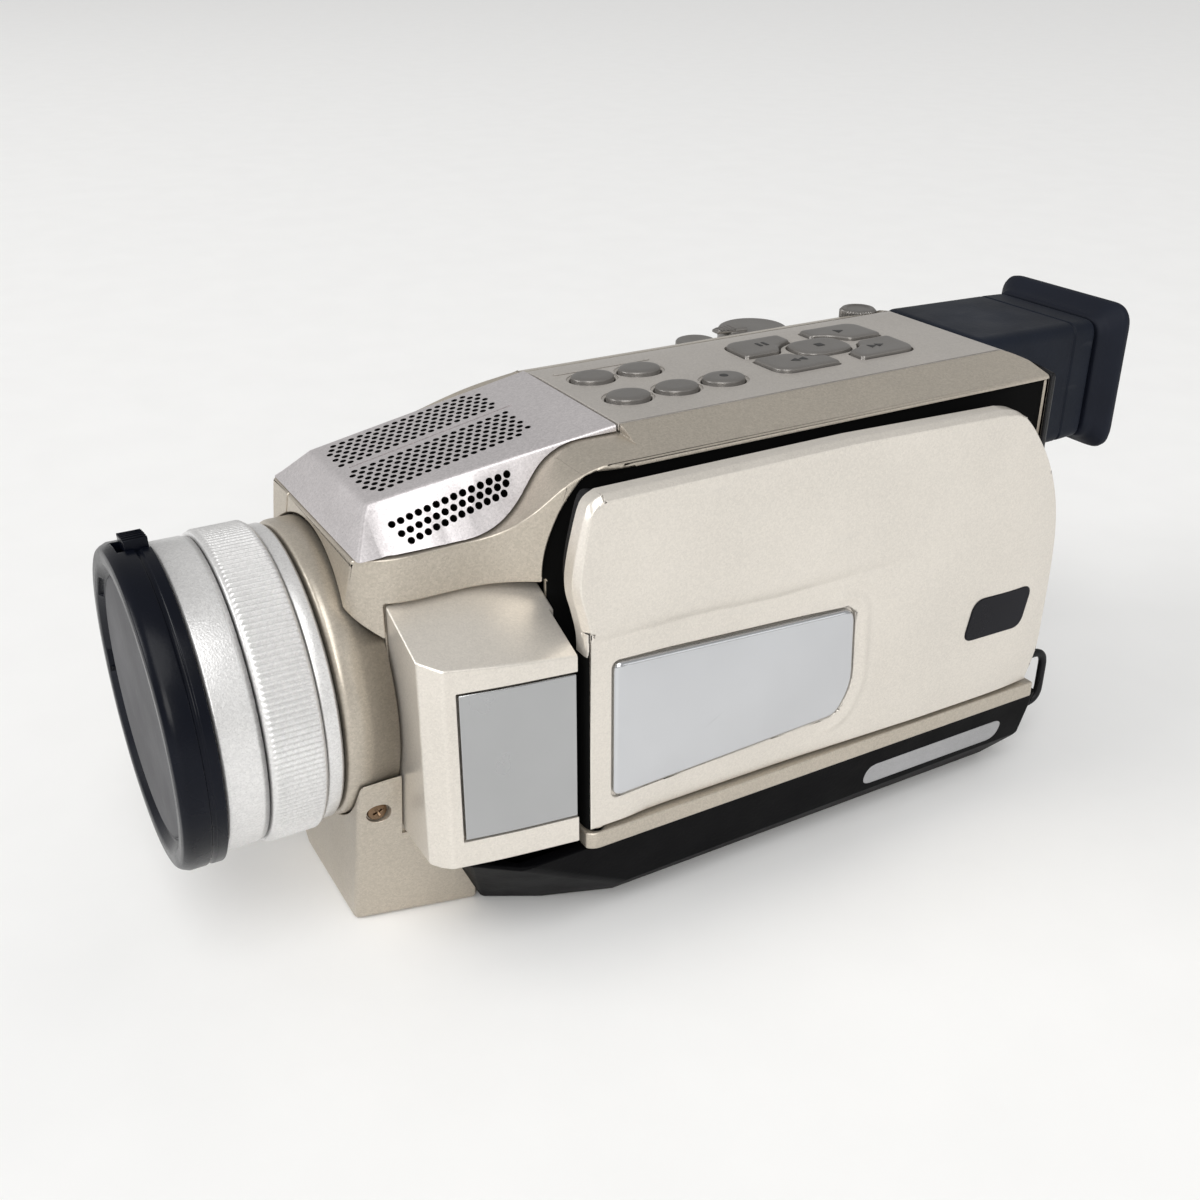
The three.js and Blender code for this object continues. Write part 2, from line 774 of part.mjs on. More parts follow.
function lcdBezel() {
  const frame = prism("x", panelOutline(1.4), BEZEL_BACK_X, PANEL_BACK_X - GAP, 4);
  return cut(
    frame,
    prism("x", rect(46, 116, -12, 30, 1.5), 20, 60, 3),
    box(30, 50, 20, 41, -60, 15),
  );
}

const lcdScreen = () =>
  prism("x", rect(46.3, 115.7, -11.7, 29.7, 1.2), BEZEL_BACK_X + 0.6, BEZEL_BACK_X + 2.2, 3);

const hingePin = () => rod("z", PIN_R, LIP_BOTTOM + 0.2, -8.4, [HINGE_X, HINGE_Y], 16);

// ---------------------------------------------------------------- viewfinder
// The eight corners of a rectangle with its corners cut off by c, grown outwards by g, at one y.
const cutCorners = ([x0, x1], [z0, z1], c, g, y) =>
  [
    [x0 - g, z0 - g + c],
    [x0 - g + c, z0 - g],
    [x1 + g - c, z0 - g],
    [x1 + g, z0 - g + c],
    [x1 + g, z1 + g - c],
    [x1 + g - c, z1 + g],
    [x0 - g + c, z1 + g],
    [x0 - g, z1 + g - c],
  ].map(([x, z]) => [x, y, z]);

// A rectangle across the viewfinder, d inside its outer faces.
const finderRect = (d, r) =>
  rect(FINDER_X[0] + d, FINDER_X[1] - d, FINDER_Z[0] + d, FINDER_Z[1] - d, r);

function finderHousing() {
  const shell = hull([
    ...cutCorners(FINDER_X, FINDER_Z, 2, 0, FINDER_FRONT_Y),
    ...cutCorners(FINDER_X, FINDER_Z, 2, -0.5, FINDER_REAR_Y),
  ]);
  return cut(
    shell,
    prism("y", finderRect(2, 1), FINDER_FRONT_Y - 1, 158, 3),
    rod("y", 8, 150, 170, EYE_AXIS, 28),
  );
}

// The tube that the housing slides along.
const finderCarriage = () =>
  cut(
    prism("y", finderRect(2.4, 1), FINDER_FRONT_Y + 0.2, 150, 3),
    prism("y", finderRect(4, 1), 130, 148.4, 3),
    rod("y", 6.4, 140, 160, EYE_AXIS, 24),
  );

const finderDisplay = () =>
  join(box(-10, 4, 145.4, 148, 19, 31), box(-6, 0, 143.8, 145.4, 22, 28));

function eyecup() {
  const cup = hull([
    ...cutCorners(FINDER_X, FINDER_Z, 3, 0, FINDER_REAR_Y + GAP),
    ...cutCorners(FINDER_X, FINDER_Z, 3, 2.4, EYECUP_REAR_Y - 2),
    ...cutCorners(FINDER_X, FINDER_Z, 3, 1.4, EYECUP_REAR_Y),
  ]);
  return cut(cup, prism("y", finderRect(2.4, 5), 167, 180, 4), rod("y", 8.4, 160, 170, EYE_AXIS, 28));
}

function eyepiece() {
  const [x, z] = EYE_AXIS;
  return turned("y", [[0, 159], [7.4, 159], [7.4, 162.4], [4.5, 163.6], [0, 164]], [x, 0, z], 28);
}

// ---------------------------------------------------------------- rear: battery and controls
const battery = () =>
  hull([
    ...cutCorners(BATTERY.x, BATTERY.z, 1.5, 0, BATTERY.y[0]),
    ...cutCorners(BATTERY.x, BATTERY.z, 1.5, 0, BATTERY.y[1] - 3),
    ...cutCorners(BATTERY.x, BATTERY.z, 1.5, -3, BATTERY.y[1]),
  ]);

// A thumb piece outside the rear cover, joined through its slot to a plate inside.
function batteryLatch() {
  const [x0, x1] = LATCH.x;
  const [z0, z1] = LATCH.z;
  return join(
    box(x0, x1, 132, 135.4, z0, z1),
    box(x0 + 1.1, x1 - 1.1, 130.5, 133, z0 + 0.7, z1 - 0.8),
    box(x0 - 0.8, x1 + 0.8, 128.6, 131, z0 - 0.9, z1 + 0.8),
  );
}

const recordButton = () =>
  join(
    rod("y", RECORD.r, 130.5, 136.6, RECORD.at, 32),
    rod("y", RECORD.r + 1.2, 129.2, 130.9, RECORD.at, 32),
  );

// ---------------------------------------------------------------- hand side
const zoomLever = () =>
  join(
    rod("z", ZOOM.r, 28.6, 35.3, [ZOOM.x, ZOOM.y], 32),
    hull(
      [
        [-1, -9],
        [1, -9],
        [2.4, -3],
        [-2.4, -3],
      ].flatMap(([x, y]) => [
        [ZOOM.x + x, ZOOM.y + y, 35.25],
        [ZOOM.x + x * 0.8, ZOOM.y + y * 0.95, 36],
      ]),
    ),
    rod("z", 2, 27.9, 28.6, [ZOOM.x, ZOOM.y], 16),
  );

const photoButton = () =>
  join(
    rod("z", PHOTO.r, 29.4, 35.5, [PHOTO.x, PHOTO.y], 28),
    rod("z", PHOTO.r + 0.7, 28.4, 29.4, [PHOTO.x, PHOTO.y], 28),
  );

const modeDial = () =>
  join(
    rod("z", DIAL.r, 33, 39.4, [DIAL.x, DIAL.y], 36),
    rod("z", 1.6, 30, 33, [DIAL.x, DIAL.y], 12),
  );

// The eject slider works through a slot in the underside, with a plate that keeps the slot covered.
const ejectSlider = () =>
  join(
    box(EJECT.x - 4, EJECT.x + 4, EJECT.y - 3, EJECT.y + 3, GROUND + 0.5, -39),
    box(EJECT.x - 5.5, EJECT.x + 5.5, EJECT.y - 8, EJECT.y + 8, -39.7, -38.5),
  );
const ejectSlot = box(
  EJECT.x - 4.4,
  EJECT.x + 4.4,
  EJECT.y - 3.4,
  EJECT.y + 3.4 + EJECT.travel,
  -60,
  -39,
);

// The flap over the sockets on the hand side.
const jackCover = () => common(cut(bodyBlock(0), bodyBlock(WALL - 0.6)), jackRegion(0));

// A padded band bowed out from the door, so that a hand fits behind it.
function handStrap() {
  const outer = [
    [-38.6, 49.6],
    [-41.8, 49.6, 1],
    [-52, 60, 14],
    [-53.6, 78, 20],
    [-52, 96, 14],
    [-41.8, 106.6, 1],
    [-38.6, 106.6],
    [-38.6, 105],
    [-49.4, 94, 14],
    [-50.8, 78, 20],
    [-49.4, 62, 14],
    [-38.6, 51.2],
  ];
  return prism("z", outer.toReversed(), -14, 16, 5);
}

// ---------------------------------------------------------------- inside
const mainBoard = () => box(16.2, 17.8, 50, 126, -20, 34);
const tapeChassis = () =>
  cut(
    box(-12.8, -11.6, 42, 122, -38, 28),
    ...[70, 96].map((y) => rod("x", 3, -20, 0, [y, -2], 16)),
  );

function headDrum() {
  const { x, y, z, r } = DRUM;
  return join(
    rod("x", r, x[0], -20.4, [y, z], 40),
    rod("x", r - 0.6, -20.4, x[1], [y, z], 40),
  );
}

function cassette() {
  const { x, y, z } = CASSETTE;
  return cut(
    box(...x, ...y, ...z),
    box(-40, 0, 65, 91, -40, z[0] + 8.2),
    ...SPOOLS.map(([, spoolY]) => rod("x", 4, -20, 0, [spoolY, SPOOL_Z], 16)),
  );
}

const spindle = (y) =>
  join(rod("x", 3, -18.6, -13.1, [y, SPOOL_Z], 12), rod("x", 5, -14.3, -13.1, [y, SPOOL_Z], 20));

// The frame round the cassette's edges, open on the drum's side.
function cassetteHolder() {
  const { x, y, z } = CASSETTE;
  const clear = 0.4;
  const outer = clear + 0.8;
  return cut(
    box(x[0], x[1] + 0.3, y[0] - outer, y[1] + outer, z[0] - outer, z[1] + outer),
    box(x[0] - 5, x[1] + 5, y[0] - clear, y[1] + clear, z[0] - clear, z[1] + clear),
    box(-60, 0, 63, 93, -60, 0),
  );
}

// ---------------------------------------------------------------- finishes
const finish = (color, roughness, metalness) => ({ color, roughness, metalness });
const CHAMPAGNE = finish(0xcfc8b8, 0.42, 0.35);
const LILAC_SILVER = finish(0xc4bfbd, 0.38, 0.4);
const DECK_GREY = finish(0xb7b0a4, 0.42, 0.35);
const SILVER = finish(0xd9d9d6, 0.35, 0.6);
const SATIN_CHROME = finish(0xb9c0c6, 0.22, 0.9);
const BLACK = finish(0x17181a, 0.5, 0);
const BLUE_BLACK = finish(0x262a35, 0.45, 0);
const RUBBER = finish(0x1c1e24, 0.75, 0);
const KEY_GREY = finish(0x77736c, 0.45, 0.2);
const GLASS = finish(0x10141c, 0.05, 0);
const BRASS = finish(0xa8843c, 0.35, 0.9);
const STEEL = finish(0xa9acb0, 0.35, 0.9);
const FABRIC = finish(0x15161a, 0.9, 0);
const GREEN = finish(0x1d5a37, 0.5, 0);

const PARTS = [
  ["left_shell", leftShell, CHAMPAGNE],
  ["right_shell", rightShell, CHAMPAGNE],
  ["front_cover", frontCover, CHAMPAGNE],
  ["lens_shroud", lensShroud, CHAMPAGNE],
  ["top_deck", topDeck, DECK_GREY],
  ["mic_cover", micCover, LILAC_SILVER],
  ["microphone", microphone, BLACK],
  ["base_cover", baseCover, BLACK],
  ["rear_cover", rearCover, BLACK],
  ["hinge_block", hingeBlock, CHAMPAGNE],
  ["hinge_trim", () => trimBand(0), SATIN_CHROME],
  ["front_screw", frontScrew, BRASS],
  ["strap_loop", strapLoop, BLACK],
  ["tripod_socket", tripodSocket, STEEL],
  ["lens_barrel", lensBarrel, SILVER],
  ["rear_lens_band", rearBand, SILVER],
  ["focus_ring", focusRing, SILVER],
  ["front_glass", frontGlass, GLASS],
  ["inner_lens_tube", innerTube, BLACK],
  ["image_sensor", imageSensor, BLACK],
  ["main_board", mainBoard, GREEN],
  ["tape_chassis", tapeChassis, STEEL],
  ["head_drum", headDrum, STEEL],
  ...SPOOLS.map(([name, y]) => [name, () => spindle(y), BLACK]),
  ["cassette", cassette, BLACK],
  ["cassette_holder", cassetteHolder, STEEL],
  ["cassette_door", cassetteDoor, CHAMPAGNE],
  ["hand_strap", handStrap, FABRIC],
  ["jack_cover", jackCover, CHAMPAGNE],
  ["lens_cap", lensCap, BLACK],
  ["cap_tab_top", () => capTab(1), BLACK],
  ["cap_tab_bottom", () => capTab(-1), BLACK],
  ["lcd_cover", lcdCover, CHAMPAGNE],
  ["lcd_trim", lcdTrim, SATIN_CHROME],
  ["lcd_bezel", lcdBezel, BLACK],
  ["lcd_screen", lcdScreen, GLASS],
  ["lcd_hinge_pin", hingePin, STEEL],
  ["viewfinder_carriage", finderCarriage, BLUE_BLACK],
  ["viewfinder_display", finderDisplay, GLASS],
  ["viewfinder_housing", finderHousing, BLUE_BLACK],
  ["eyecup", eyecup, RUBBER],
  ["eyepiece_lens", eyepiece, GLASS],
  ["battery", battery, BLACK],
  ["battery_latch", batteryLatch, BLACK],
  ["mode_dial", modeDial, KEY_GREY],
  ["record_button", recordButton, KEY_GREY],
  ["zoom_lever", zoomLever, KEY_GREY],
  ["photo_button", photoButton, KEY_GREY],
  ["eject_slider", ejectSlider, KEY_GREY],
  ...OVALS.map(([name, x, y]) => [
    name,
    () => button(ovalOutline(x, y, 0), ovalOutline(x, y, 0.6)),
    KEY_GREY,
  ]),
  ...KEYS.map(([name, sx, sy]) => [
    name,
    () => button(keyOutline(sx, sy, 0), keyOutline(sx, sy, 0.5)),
    KEY_GREY,
  ]),
];

const parts = new THREE.Group();
for (const [name, make, look] of PARTS) {
  const mesh = new THREE.Mesh(geometryOf(make()), new THREE.MeshStandardMaterial(look));
  mesh.name = name;
  parts.add(mesh);
}

const extent = new THREE.Box3().setFromObject(parts);
const middle = extent.getCenter(new THREE.Vector3());
parts.position.set(-middle.x, -middle.y, -extent.min.z);

const camcorder = new THREE.Group();
camcorder.add(parts);

export default camcorder;
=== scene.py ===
import math

import bmesh
import bpy
import numpy as np
from mathutils import Matrix, Vector
from mathutils.bvhtree import BVHTree


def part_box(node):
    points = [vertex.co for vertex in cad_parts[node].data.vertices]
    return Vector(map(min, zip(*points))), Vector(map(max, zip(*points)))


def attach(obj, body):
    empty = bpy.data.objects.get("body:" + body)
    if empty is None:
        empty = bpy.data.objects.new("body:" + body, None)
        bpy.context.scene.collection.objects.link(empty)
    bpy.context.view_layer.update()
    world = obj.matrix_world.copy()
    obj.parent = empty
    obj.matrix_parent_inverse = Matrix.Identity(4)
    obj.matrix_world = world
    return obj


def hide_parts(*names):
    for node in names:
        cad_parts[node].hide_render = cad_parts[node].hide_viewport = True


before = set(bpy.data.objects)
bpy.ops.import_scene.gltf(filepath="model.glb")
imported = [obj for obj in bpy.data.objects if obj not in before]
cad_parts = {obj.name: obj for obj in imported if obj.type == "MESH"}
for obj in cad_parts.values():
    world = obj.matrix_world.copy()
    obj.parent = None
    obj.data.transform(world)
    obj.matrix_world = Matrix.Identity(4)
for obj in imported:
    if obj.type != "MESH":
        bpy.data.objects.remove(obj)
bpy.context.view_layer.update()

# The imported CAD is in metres. The shapes below are drawn in millimetres in the lens frame: x = 0 and z = 0
# on the lens axis, y = 0 at the back edge of the focus ring, and +y towards the eyepiece.
RING_LOW, RING_HIGH = (Vector(corner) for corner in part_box("focus_ring"))
LENS_ORIGIN = Vector(((RING_LOW.x + RING_HIGH.x) / 2, RING_HIGH.y, (RING_LOW.z + RING_HIGH.z) / 2))
TO_ROW = Matrix.Translation(LENS_ORIGIN) @ Matrix.Scale(0.001, 4)

GAP = 0.3
WALL = 2
SKIN_DEPTH = 0.2
GROUND = -42
DECK_TOP = 39.4
DECK_INNER_X = -10
DECK_OUTER_X = 21.4
MIC_REAR_Y = 50.3
MIC_FRONT_Y = 8.2
BODY_FRONT_Y = 6
BODY_REAR_Y = 134
REAR_COVER_Y = 131
BASE_TOP = -23.6
BASE_FRONT_Y = 17.4
RECESS_X = 30.6
SIDE_X = -38
SLEEVE_R = 20.6
SHROUD_R = 24.2
FRONT_TOP = -9.5
FRONT_REAR_Y = 25
BLOCK_FRONT_Y = 12
BLOCK_REAR_Y = 35.5
BLOCK_TOP = 18.4
BLOCK_EDGE_TOP = 11.6
BLOCK_BOTTOM = -21.6
BLOCK_INNER_X = 20.5
BLOCK_OUTER_X = 36.9
PANEL_FACE_X = 38
PANEL_BACK_X = 33.8
PANEL_BOTTOM = -19.9
PANEL_TOP = 35.9
HINGE = (36, 38.1)
LIP = (-23.3, -20.3)
FINDER_X = (-17, 11)
FINDER_Z = (12.5, 37.4)
FINDER_Y = (134.5, 165)
EYE_AXIS = (-3, 25)
SCREW = (8, -16.4)
RECORD = (20, 10)
ZOOM = (-24.5, 108, 6.9)
PHOTO = (-22, 93, 3.9)
DIAL = (-15, 126.2, 4.2)
EJECT = (-20, 99)
TRIPOD = (0, 62)


# ---------------------------------------------------------------- solids
def shape(vertices, faces, name="shape"):
    mesh = bpy.data.meshes.new(name)
    mesh.from_pydata([tuple(map(float, v)) for v in vertices], [], faces)
    body = bmesh.new()
    body.from_mesh(mesh)
    bmesh.ops.recalc_face_normals(body, faces=body.faces)
    body.to_mesh(mesh)
    body.free()
    thing = bpy.data.objects.new(name, mesh)
    bpy.context.scene.collection.objects.link(thing)
    return thing


def quads(rows, count, closed=False):
    """The faces between neighbouring rows of count points, where each row is a closed loop."""
    faces = []
    for i in range(rows if closed else rows - 1):
        j = (i + 1) % rows
        for k in range(count):
            n = (k + 1) % count
            faces.append((i * count + k, i * count + n, j * count + n, j * count + k))
    return faces


def lofted(rows):
    """A closed body through rows of points, with a flat face at each end."""
    count = len(rows[0])
    ends = [tuple(range(count)), tuple(range(count * (len(rows) - 1), count * len(rows)))]
    return shape([point for row in rows for point in row], ends + quads(len(rows), count))


def ring_of(rows):
    """A closed ring through rows of points, with the last row joined to the first."""
    return shape([point for row in rows for point in row], quads(len(rows), len(rows[0]), closed=True))


def applied(thing):
    """Applies the modifiers of thing to its mesh."""
    graph = bpy.context.evaluated_depsgraph_get()
    mesh = bpy.data.meshes.new_from_object(thing.evaluated_get(graph))
    thing.modifiers.clear()
    old = thing.data
    thing.data = mesh
    bpy.data.meshes.remove(old)
    return thing


def combined(operation, base, tools):
    for tool in tools:
        step = base.modifiers.new("step", "BOOLEAN")
        step.operation = operation
        step.solver = "MANIFOLD"
        step.object = tool
    applied(base)
    for tool in tools:
        bpy.data.objects.remove(tool)
    return base


def cut(base, *tools):
    return combined("DIFFERENCE", base, tools)


def surface_of(thing):
    thing.data.calc_loop_triangles()
    corners = [v.co.copy() for v in thing.data.vertices]
    return BVHTree.FromPolygons(corners, [tuple(t.vertices) for t in thing.data.loop_triangles])


def cut_painting_shade(base, *tools):
    """Cuts, and gives the faces that lie mostly inside the old skin the piece's second material, which paints
    dark shade on them.
    """
    skin = surface_of(base)
    base = cut(base, *tools)
    base.data.calc_loop_triangles()
    inner = np.zeros(len(base.data.polygons))
    for part in base.data.loop_triangles:
        middle = sum((base.data.vertices[i].co for i in part.vertices), Vector()) / 3
        inner[part.polygon_index] += part.area if skin.find_nearest(middle)[3] > SKIN_DEPTH else -part.area
    for face, share in zip(base.data.polygons, inner):
        face.material_index = int(share > 0)
    return base


def edge_bevel(thing, width, segments, angle):
    """A bevel on the edges sharper than angle. The width is in the mesh's own units."""
    edge = thing.modifiers.new("edge", "BEVEL")
    edge.width = width
    edge.segments = segments
    edge.limit_method = "ANGLE"
    edge.angle_limit = math.radians(angle)
    return edge


def rounded(thing, width, steps=4, angle=24, merge=True):
    """Rounds the sharp edges for good, before anything is cut from the shape."""
    if merge:
        tidied(thing.data)
    edge_bevel(thing, width, steps, angle)
    return applied(thing)


def join(base, *others):
    return combined("UNION", base, others)


def common(base, *others):
    return combined("INTERSECT", base, others)


def copy(thing):
    twin = bpy.data.objects.new(thing.name, thing.data.copy())
    bpy.context.scene.collection.objects.link(twin)
    return twin


def outline(corners, steps=10):
    """A closed loop through [u, v] or [u, v, radius] corners, each rounded by a quadratic curve."""
    loop = []
    count = len(corners)
    for i, (u, v, *radius) in enumerate(corners):
        corner = np.array((u, v), float)
        before = np.array(corners[i - 1][:2]) - corner
        after = np.array(corners[(i + 1) % count][:2]) - corner
        lengths = np.linalg.norm(before), np.linalg.norm(after)
        reach = min(radius[0] if radius else 0, lengths[0] * 0.48, lengths[1] * 0.48)
        if reach <= 0:
            loop.append(tuple(corner))
            continue
        start = corner + before / lengths[0] * reach
        end = corner + after / lengths[1] * reach
        for k in range(steps + 1):
            t = k / steps
            loop.append(tuple((1 - t) ** 2 * start + 2 * t * (1 - t) * corner + t * t * end))
    return loop


def inset(corners, d):
    """The same corners moved in by d. Corners run anticlockwise."""
    moved = []
    count = len(corners)
    for i, (u, v, *radius) in enumerate(corners):
        point = np.array((u, v), float)
        a = point - np.array(corners[i - 1][:2])
        b = np.array(corners[(i + 1) % count][:2]) - point
        a, b = a / np.linalg.norm(a), b / np.linalg.norm(b)
        turn = a[0] * b[1] - a[1] * b[0]
        along = 0 if abs(turn) < 1e-6 else (1 - a @ b) / turn
        r = max((radius[0] if radius else 0) - d * 0.5, 0)
        moved.append((point[0] - d * a[1] - d * along * a[0], point[1] + d * a[0] - d * along * a[1], r))
    return moved


def left_of(loop):
    """At each point of a closed loop, the unit vector square to it, to the left of the way along it."""
    sides = []
    for i in range(len(loop)):
        before, after = np.array(loop[i - 1]), np.array(loop[(i + 1) % len(loop)])
        along = (after - before) / np.linalg.norm(after - before)
        sides.append((-along[1], along[0]))
    return sides


def placed(axis, u, v, h):
    return {"x": (h, u, v), "y": (u, h, v), "z": (u, v, h)}[axis]


def prism(axis, loop, low, high):
    """A prism. Loop points are (y, z) for axis x, (x, z) for y and (x, y) for z."""
    return lofted([[placed(axis, u, v, h) for u, v in loop] for h in (low, high)])


def rect(u0, u1, v0, v1, r=0):
    return [(u0, v0, r), (u1, v0, r), (u1, v1, r), (u0, v1, r)]


def box(x0, x1, y0, y1, z0, z1):
    return prism("z", outline(rect(x0, x1, y0, y1)), z0, z1)


def hull(points):
    mesh = bpy.data.meshes.new("hull")
    body = bmesh.new()
    for point in points:
        body.verts.new(point)
    made = bmesh.ops.convex_hull(body, input=body.verts)
    loose = {v for v in made["geom_unused"] + made["geom_interior"] if isinstance(v, bmesh.types.BMVert)}
    bmesh.ops.delete(body, geom=list(loose), context="VERTS")
    bmesh.ops.recalc_face_normals(body, faces=body.faces)
    body.to_mesh(mesh)
    body.free()
    thing = bpy.data.objects.new("hull", mesh)
    bpy.context.scene.collection.objects.link(thing)
    return thing


def turned(axis, profile, centre=(0, 0), segments=96):
    """A turned piece from a closed profile of (radius, distance along the axis) points."""
    vertices = []
    rows = []
    for r, h in profile:
        if r == 0:
            rows.append([len(vertices)])
            vertices.append(placed(axis, centre[0], centre[1], h))
            continue
        rows.append(list(range(len(vertices), len(vertices) + segments)))
        for k in range(segments):
            angle = 2 * math.pi * k / segments
            u = centre[0] + r * math.cos(angle)
            v = centre[1] + r * math.sin(angle)
            vertices.append(placed(axis, u, v, h))
    faces = []
    for i, row in enumerate(rows):
        after = rows[(i + 1) % len(rows)]
        if len(row) == 1 and len(after) == 1:
            continue
        for k in range(segments):
            n = (k + 1) % segments
            if len(row) == 1:
                faces.append((row[0], after[k], after[n]))
            elif len(after) == 1:
                faces.append((row[k], row[n], after[0]))
            else:
                faces.append((row[k], row[n], after[n], after[k]))
    return shape(vertices, faces)


def rod(axis, r, low, high, centre, segments=48):
    return turned(axis, [(0, low), (r, low), (r, high), (0, high)], centre, segments)


def peg(start, end, r, segments=12):
    """A rod between two points."""
    start, end = Vector(start), Vector(end)
    turn = (end - start).to_track_quat("Z", "Y").to_matrix()
    circle = [
        Vector((math.cos(2 * math.pi * k / segments), math.sin(2 * math.pi * k / segments), 0))
        for k in range(segments)
    ]
    return lofted([[p + turn @ c * r for c in circle] for p in (start, end)])


def gathered(things):
    """One mesh of several that don't touch."""
    body = bmesh.new()
    for thing in things:
        body.from_mesh(thing.data)
        bpy.data.objects.remove(thing)
    mesh = bpy.data.meshes.new("set")
    body.to_mesh(mesh)
    body.free()
    whole = bpy.data.objects.new("set", mesh)
    bpy.context.scene.collection.objects.link(whole)
    return whole


def smooth_loop(points, steps=8):
    """Points along a Catmull-Rom curve through an open run of points."""
    points = [np.array(p, float) for p in points]
    run = []
    last = len(points) - 1
    for i in range(last):
        p0, p1, p2, p3 = points[max(i - 1, 0)], points[i], points[i + 1], points[min(i + 2, last)]
        for k in range(steps):
            t = k / steps
            v0, v1 = (p2 - p0) * 0.5, (p3 - p1) * 0.5
            run.append(
                tuple(
                    (2 * p1 - 2 * p2 + v0 + v1) * t**3
                    + (-3 * p1 + 3 * p2 - 2 * v0 - v1) * t**2
                    + v0 * t
                    + p1
                )
            )
    run.append(tuple(points[-1]))
    return run


# ---------------------------------------------------------------- materials
def material(name, colour, roughness=0.5, metallic=0.0, grain=(2500, 0.08), mottle=0.05, flake=0.0, scuff=0.0,
             coat=0.0, brushed=None, specular=0.5):
    """A moulded, painted or metal surface: fine grain, uneven tone, metallic flake with painted glints, and
    light scuffs.
    """
    made = bpy.data.materials.new(name)
    made.use_nodes = True
    tree = made.node_tree
    nodes, links = tree.nodes, tree.links
    shader = nodes["Principled BSDF"]
    shader.inputs["Metallic"].default_value = metallic
    shader.inputs["Coat Weight"].default_value = coat
    shader.inputs["Specular IOR Level"].default_value = specular
    shader.inputs["Coat Roughness"].default_value = 0.15
    where = nodes.new("ShaderNodeTexCoord").outputs["Object"]

    def noise(scale, detail=3.0, stretch=None):
        source = where
        if stretch:
            mapping = nodes.new("ShaderNodeMapping")
            mapping.inputs["Scale"].default_value = stretch
            links.new(where, mapping.inputs["Vector"])
            source = mapping.outputs["Vector"]
        texture = nodes.new("ShaderNodeTexNoise")
        texture.inputs["Scale"].default_value = scale
        texture.inputs["Detail"].default_value = detail
        links.new(source, texture.inputs["Vector"])
        return texture.outputs["Fac"]

    def ramp(source, low, high, a=0.0, b=1.0):
        node = nodes.new("ShaderNodeMapRange")
        node.inputs["From Min"].default_value = low
        node.inputs["From Max"].default_value = high
        node.inputs["To Min"].default_value = a
        node.inputs["To Max"].default_value = b
        links.new(source, node.inputs["Value"])
        return node.outputs["Result"]

    def blended(factor, a, b):
        node = nodes.new("ShaderNodeMix")
        node.data_type = "RGBA"
        links.new(factor, node.inputs["Factor"])
        for socket, value in ((node.inputs["A"], a), (node.inputs["B"], b)):
            if isinstance(value, tuple):
                socket.default_value = (*value, 1)
            else:
                links.new(value, socket)
        return node.outputs["Result"]

    darker = tuple(c * (1 - mottle) for c in colour)
    lighter = tuple(min(c * (1 + mottle), 1) for c in colour)
    tone = blended(ramp(noise(45, 4), 0.35, 0.65), darker, lighter)
    rough = ramp(noise(120, 4), 0.3, 0.7, roughness - 0.05, roughness + 0.05)
    if flake:
        # Random cells are painted brighter: painted glints of the metallic flake. Other spots are darker at
        # random.
        cells = nodes.new("ShaderNodeTexVoronoi")
        cells.inputs["Scale"].default_value = 3600
        links.new(where, cells.inputs["Vector"])
        painted_glint = ramp(cells.outputs["Color"], 0.2, 0.95, 0.0, flake)
        tone = blended(painted_glint, tone, tuple(min(c * 1.3 + 0.03, 1) for c in colour))
        dull = ramp(noise(5200, 2), 0.58, 0.75, 0.0, flake)
        tone = blended(dull, tone, tuple(c * 0.6 for c in colour))
    if scuff:
        marks = ramp(noise(260, 6, (1, 0.25, 1)), 0.66, 0.72, 0.0, scuff)
        tone = blended(marks, tone, tuple(c * 0.6 + 0.2 for c in colour))
        more = nodes.new("ShaderNodeMath")
        more.operation = "MULTIPLY_ADD"
        links.new(marks, more.inputs[0])
        more.inputs[1].default_value = 0.25
        links.new(rough, more.inputs[2])
        rough = more.outputs[0]
    links.new(tone, shader.inputs["Base Color"])
    links.new(rough, shader.inputs["Roughness"])
    bump = nodes.new("ShaderNodeBump")
    bump.inputs["Strength"].default_value = grain[1]
    bump.inputs["Distance"].default_value = 0.0001
    links.new(noise(grain[0], 2, brushed), bump.inputs["Height"])
    links.new(bump.outputs["Normal"], shader.inputs["Normal"])
    return made


def woven(name, colour, pitch, roughness=0.85):
    """Woven nylon: over and under threads at a real pitch in metres, with a soft sheen."""
    made = bpy.data.materials.new(name)
    made.use_nodes = True
    tree = made.node_tree
    nodes, links = tree.nodes, tree.links
    shader = nodes["Principled BSDF"]
    shader.inputs["Roughness"].default_value = roughness
    shader.inputs["Sheen Weight"].default_value = 0.35
    shader.inputs["Sheen Roughness"].default_value = 0.5
    where = nodes.new("ShaderNodeTexCoord").outputs["Object"]
    waves = []
    for direction in ("Y", "Z"):
        wave = nodes.new("ShaderNodeTexWave")
        wave.bands_direction = direction
        wave.inputs["Scale"].default_value = 0.3142 / pitch
        wave.inputs["Distortion"].default_value = 0.6
        wave.inputs["Detail"].default_value = 1.0
        links.new(where, wave.inputs["Vector"])
        waves.append(wave.outputs["Fac"])
    weave = nodes.new("ShaderNodeMath")
    weave.operation = "MULTIPLY"
    links.new(waves[0], weave.inputs[0])
    links.new(waves[1], weave.inputs[1])
    # The colour follows the weave's height: thread tops painted lighter and the hollows between threads
    # darker, painted light and shade of the relief.
    mix = nodes.new("ShaderNodeMix")
    mix.data_type = "RGBA"
    links.new(weave.outputs[0], mix.inputs["Factor"])
    mix.inputs["A"].default_value = (*(c * 0.45 for c in colour), 1)
    mix.inputs["B"].default_value = (*(min(c * 1.7, 1) for c in colour), 1)
    links.new(mix.outputs["Result"], shader.inputs["Base Color"])
    bump = nodes.new("ShaderNodeBump")
    bump.inputs["Strength"].default_value = 0.7
    bump.inputs["Distance"].default_value = 0.0003
    links.new(weave.outputs[0], bump.inputs["Height"])
    links.new(bump.outputs["Normal"], shader.inputs["Normal"])
    return made


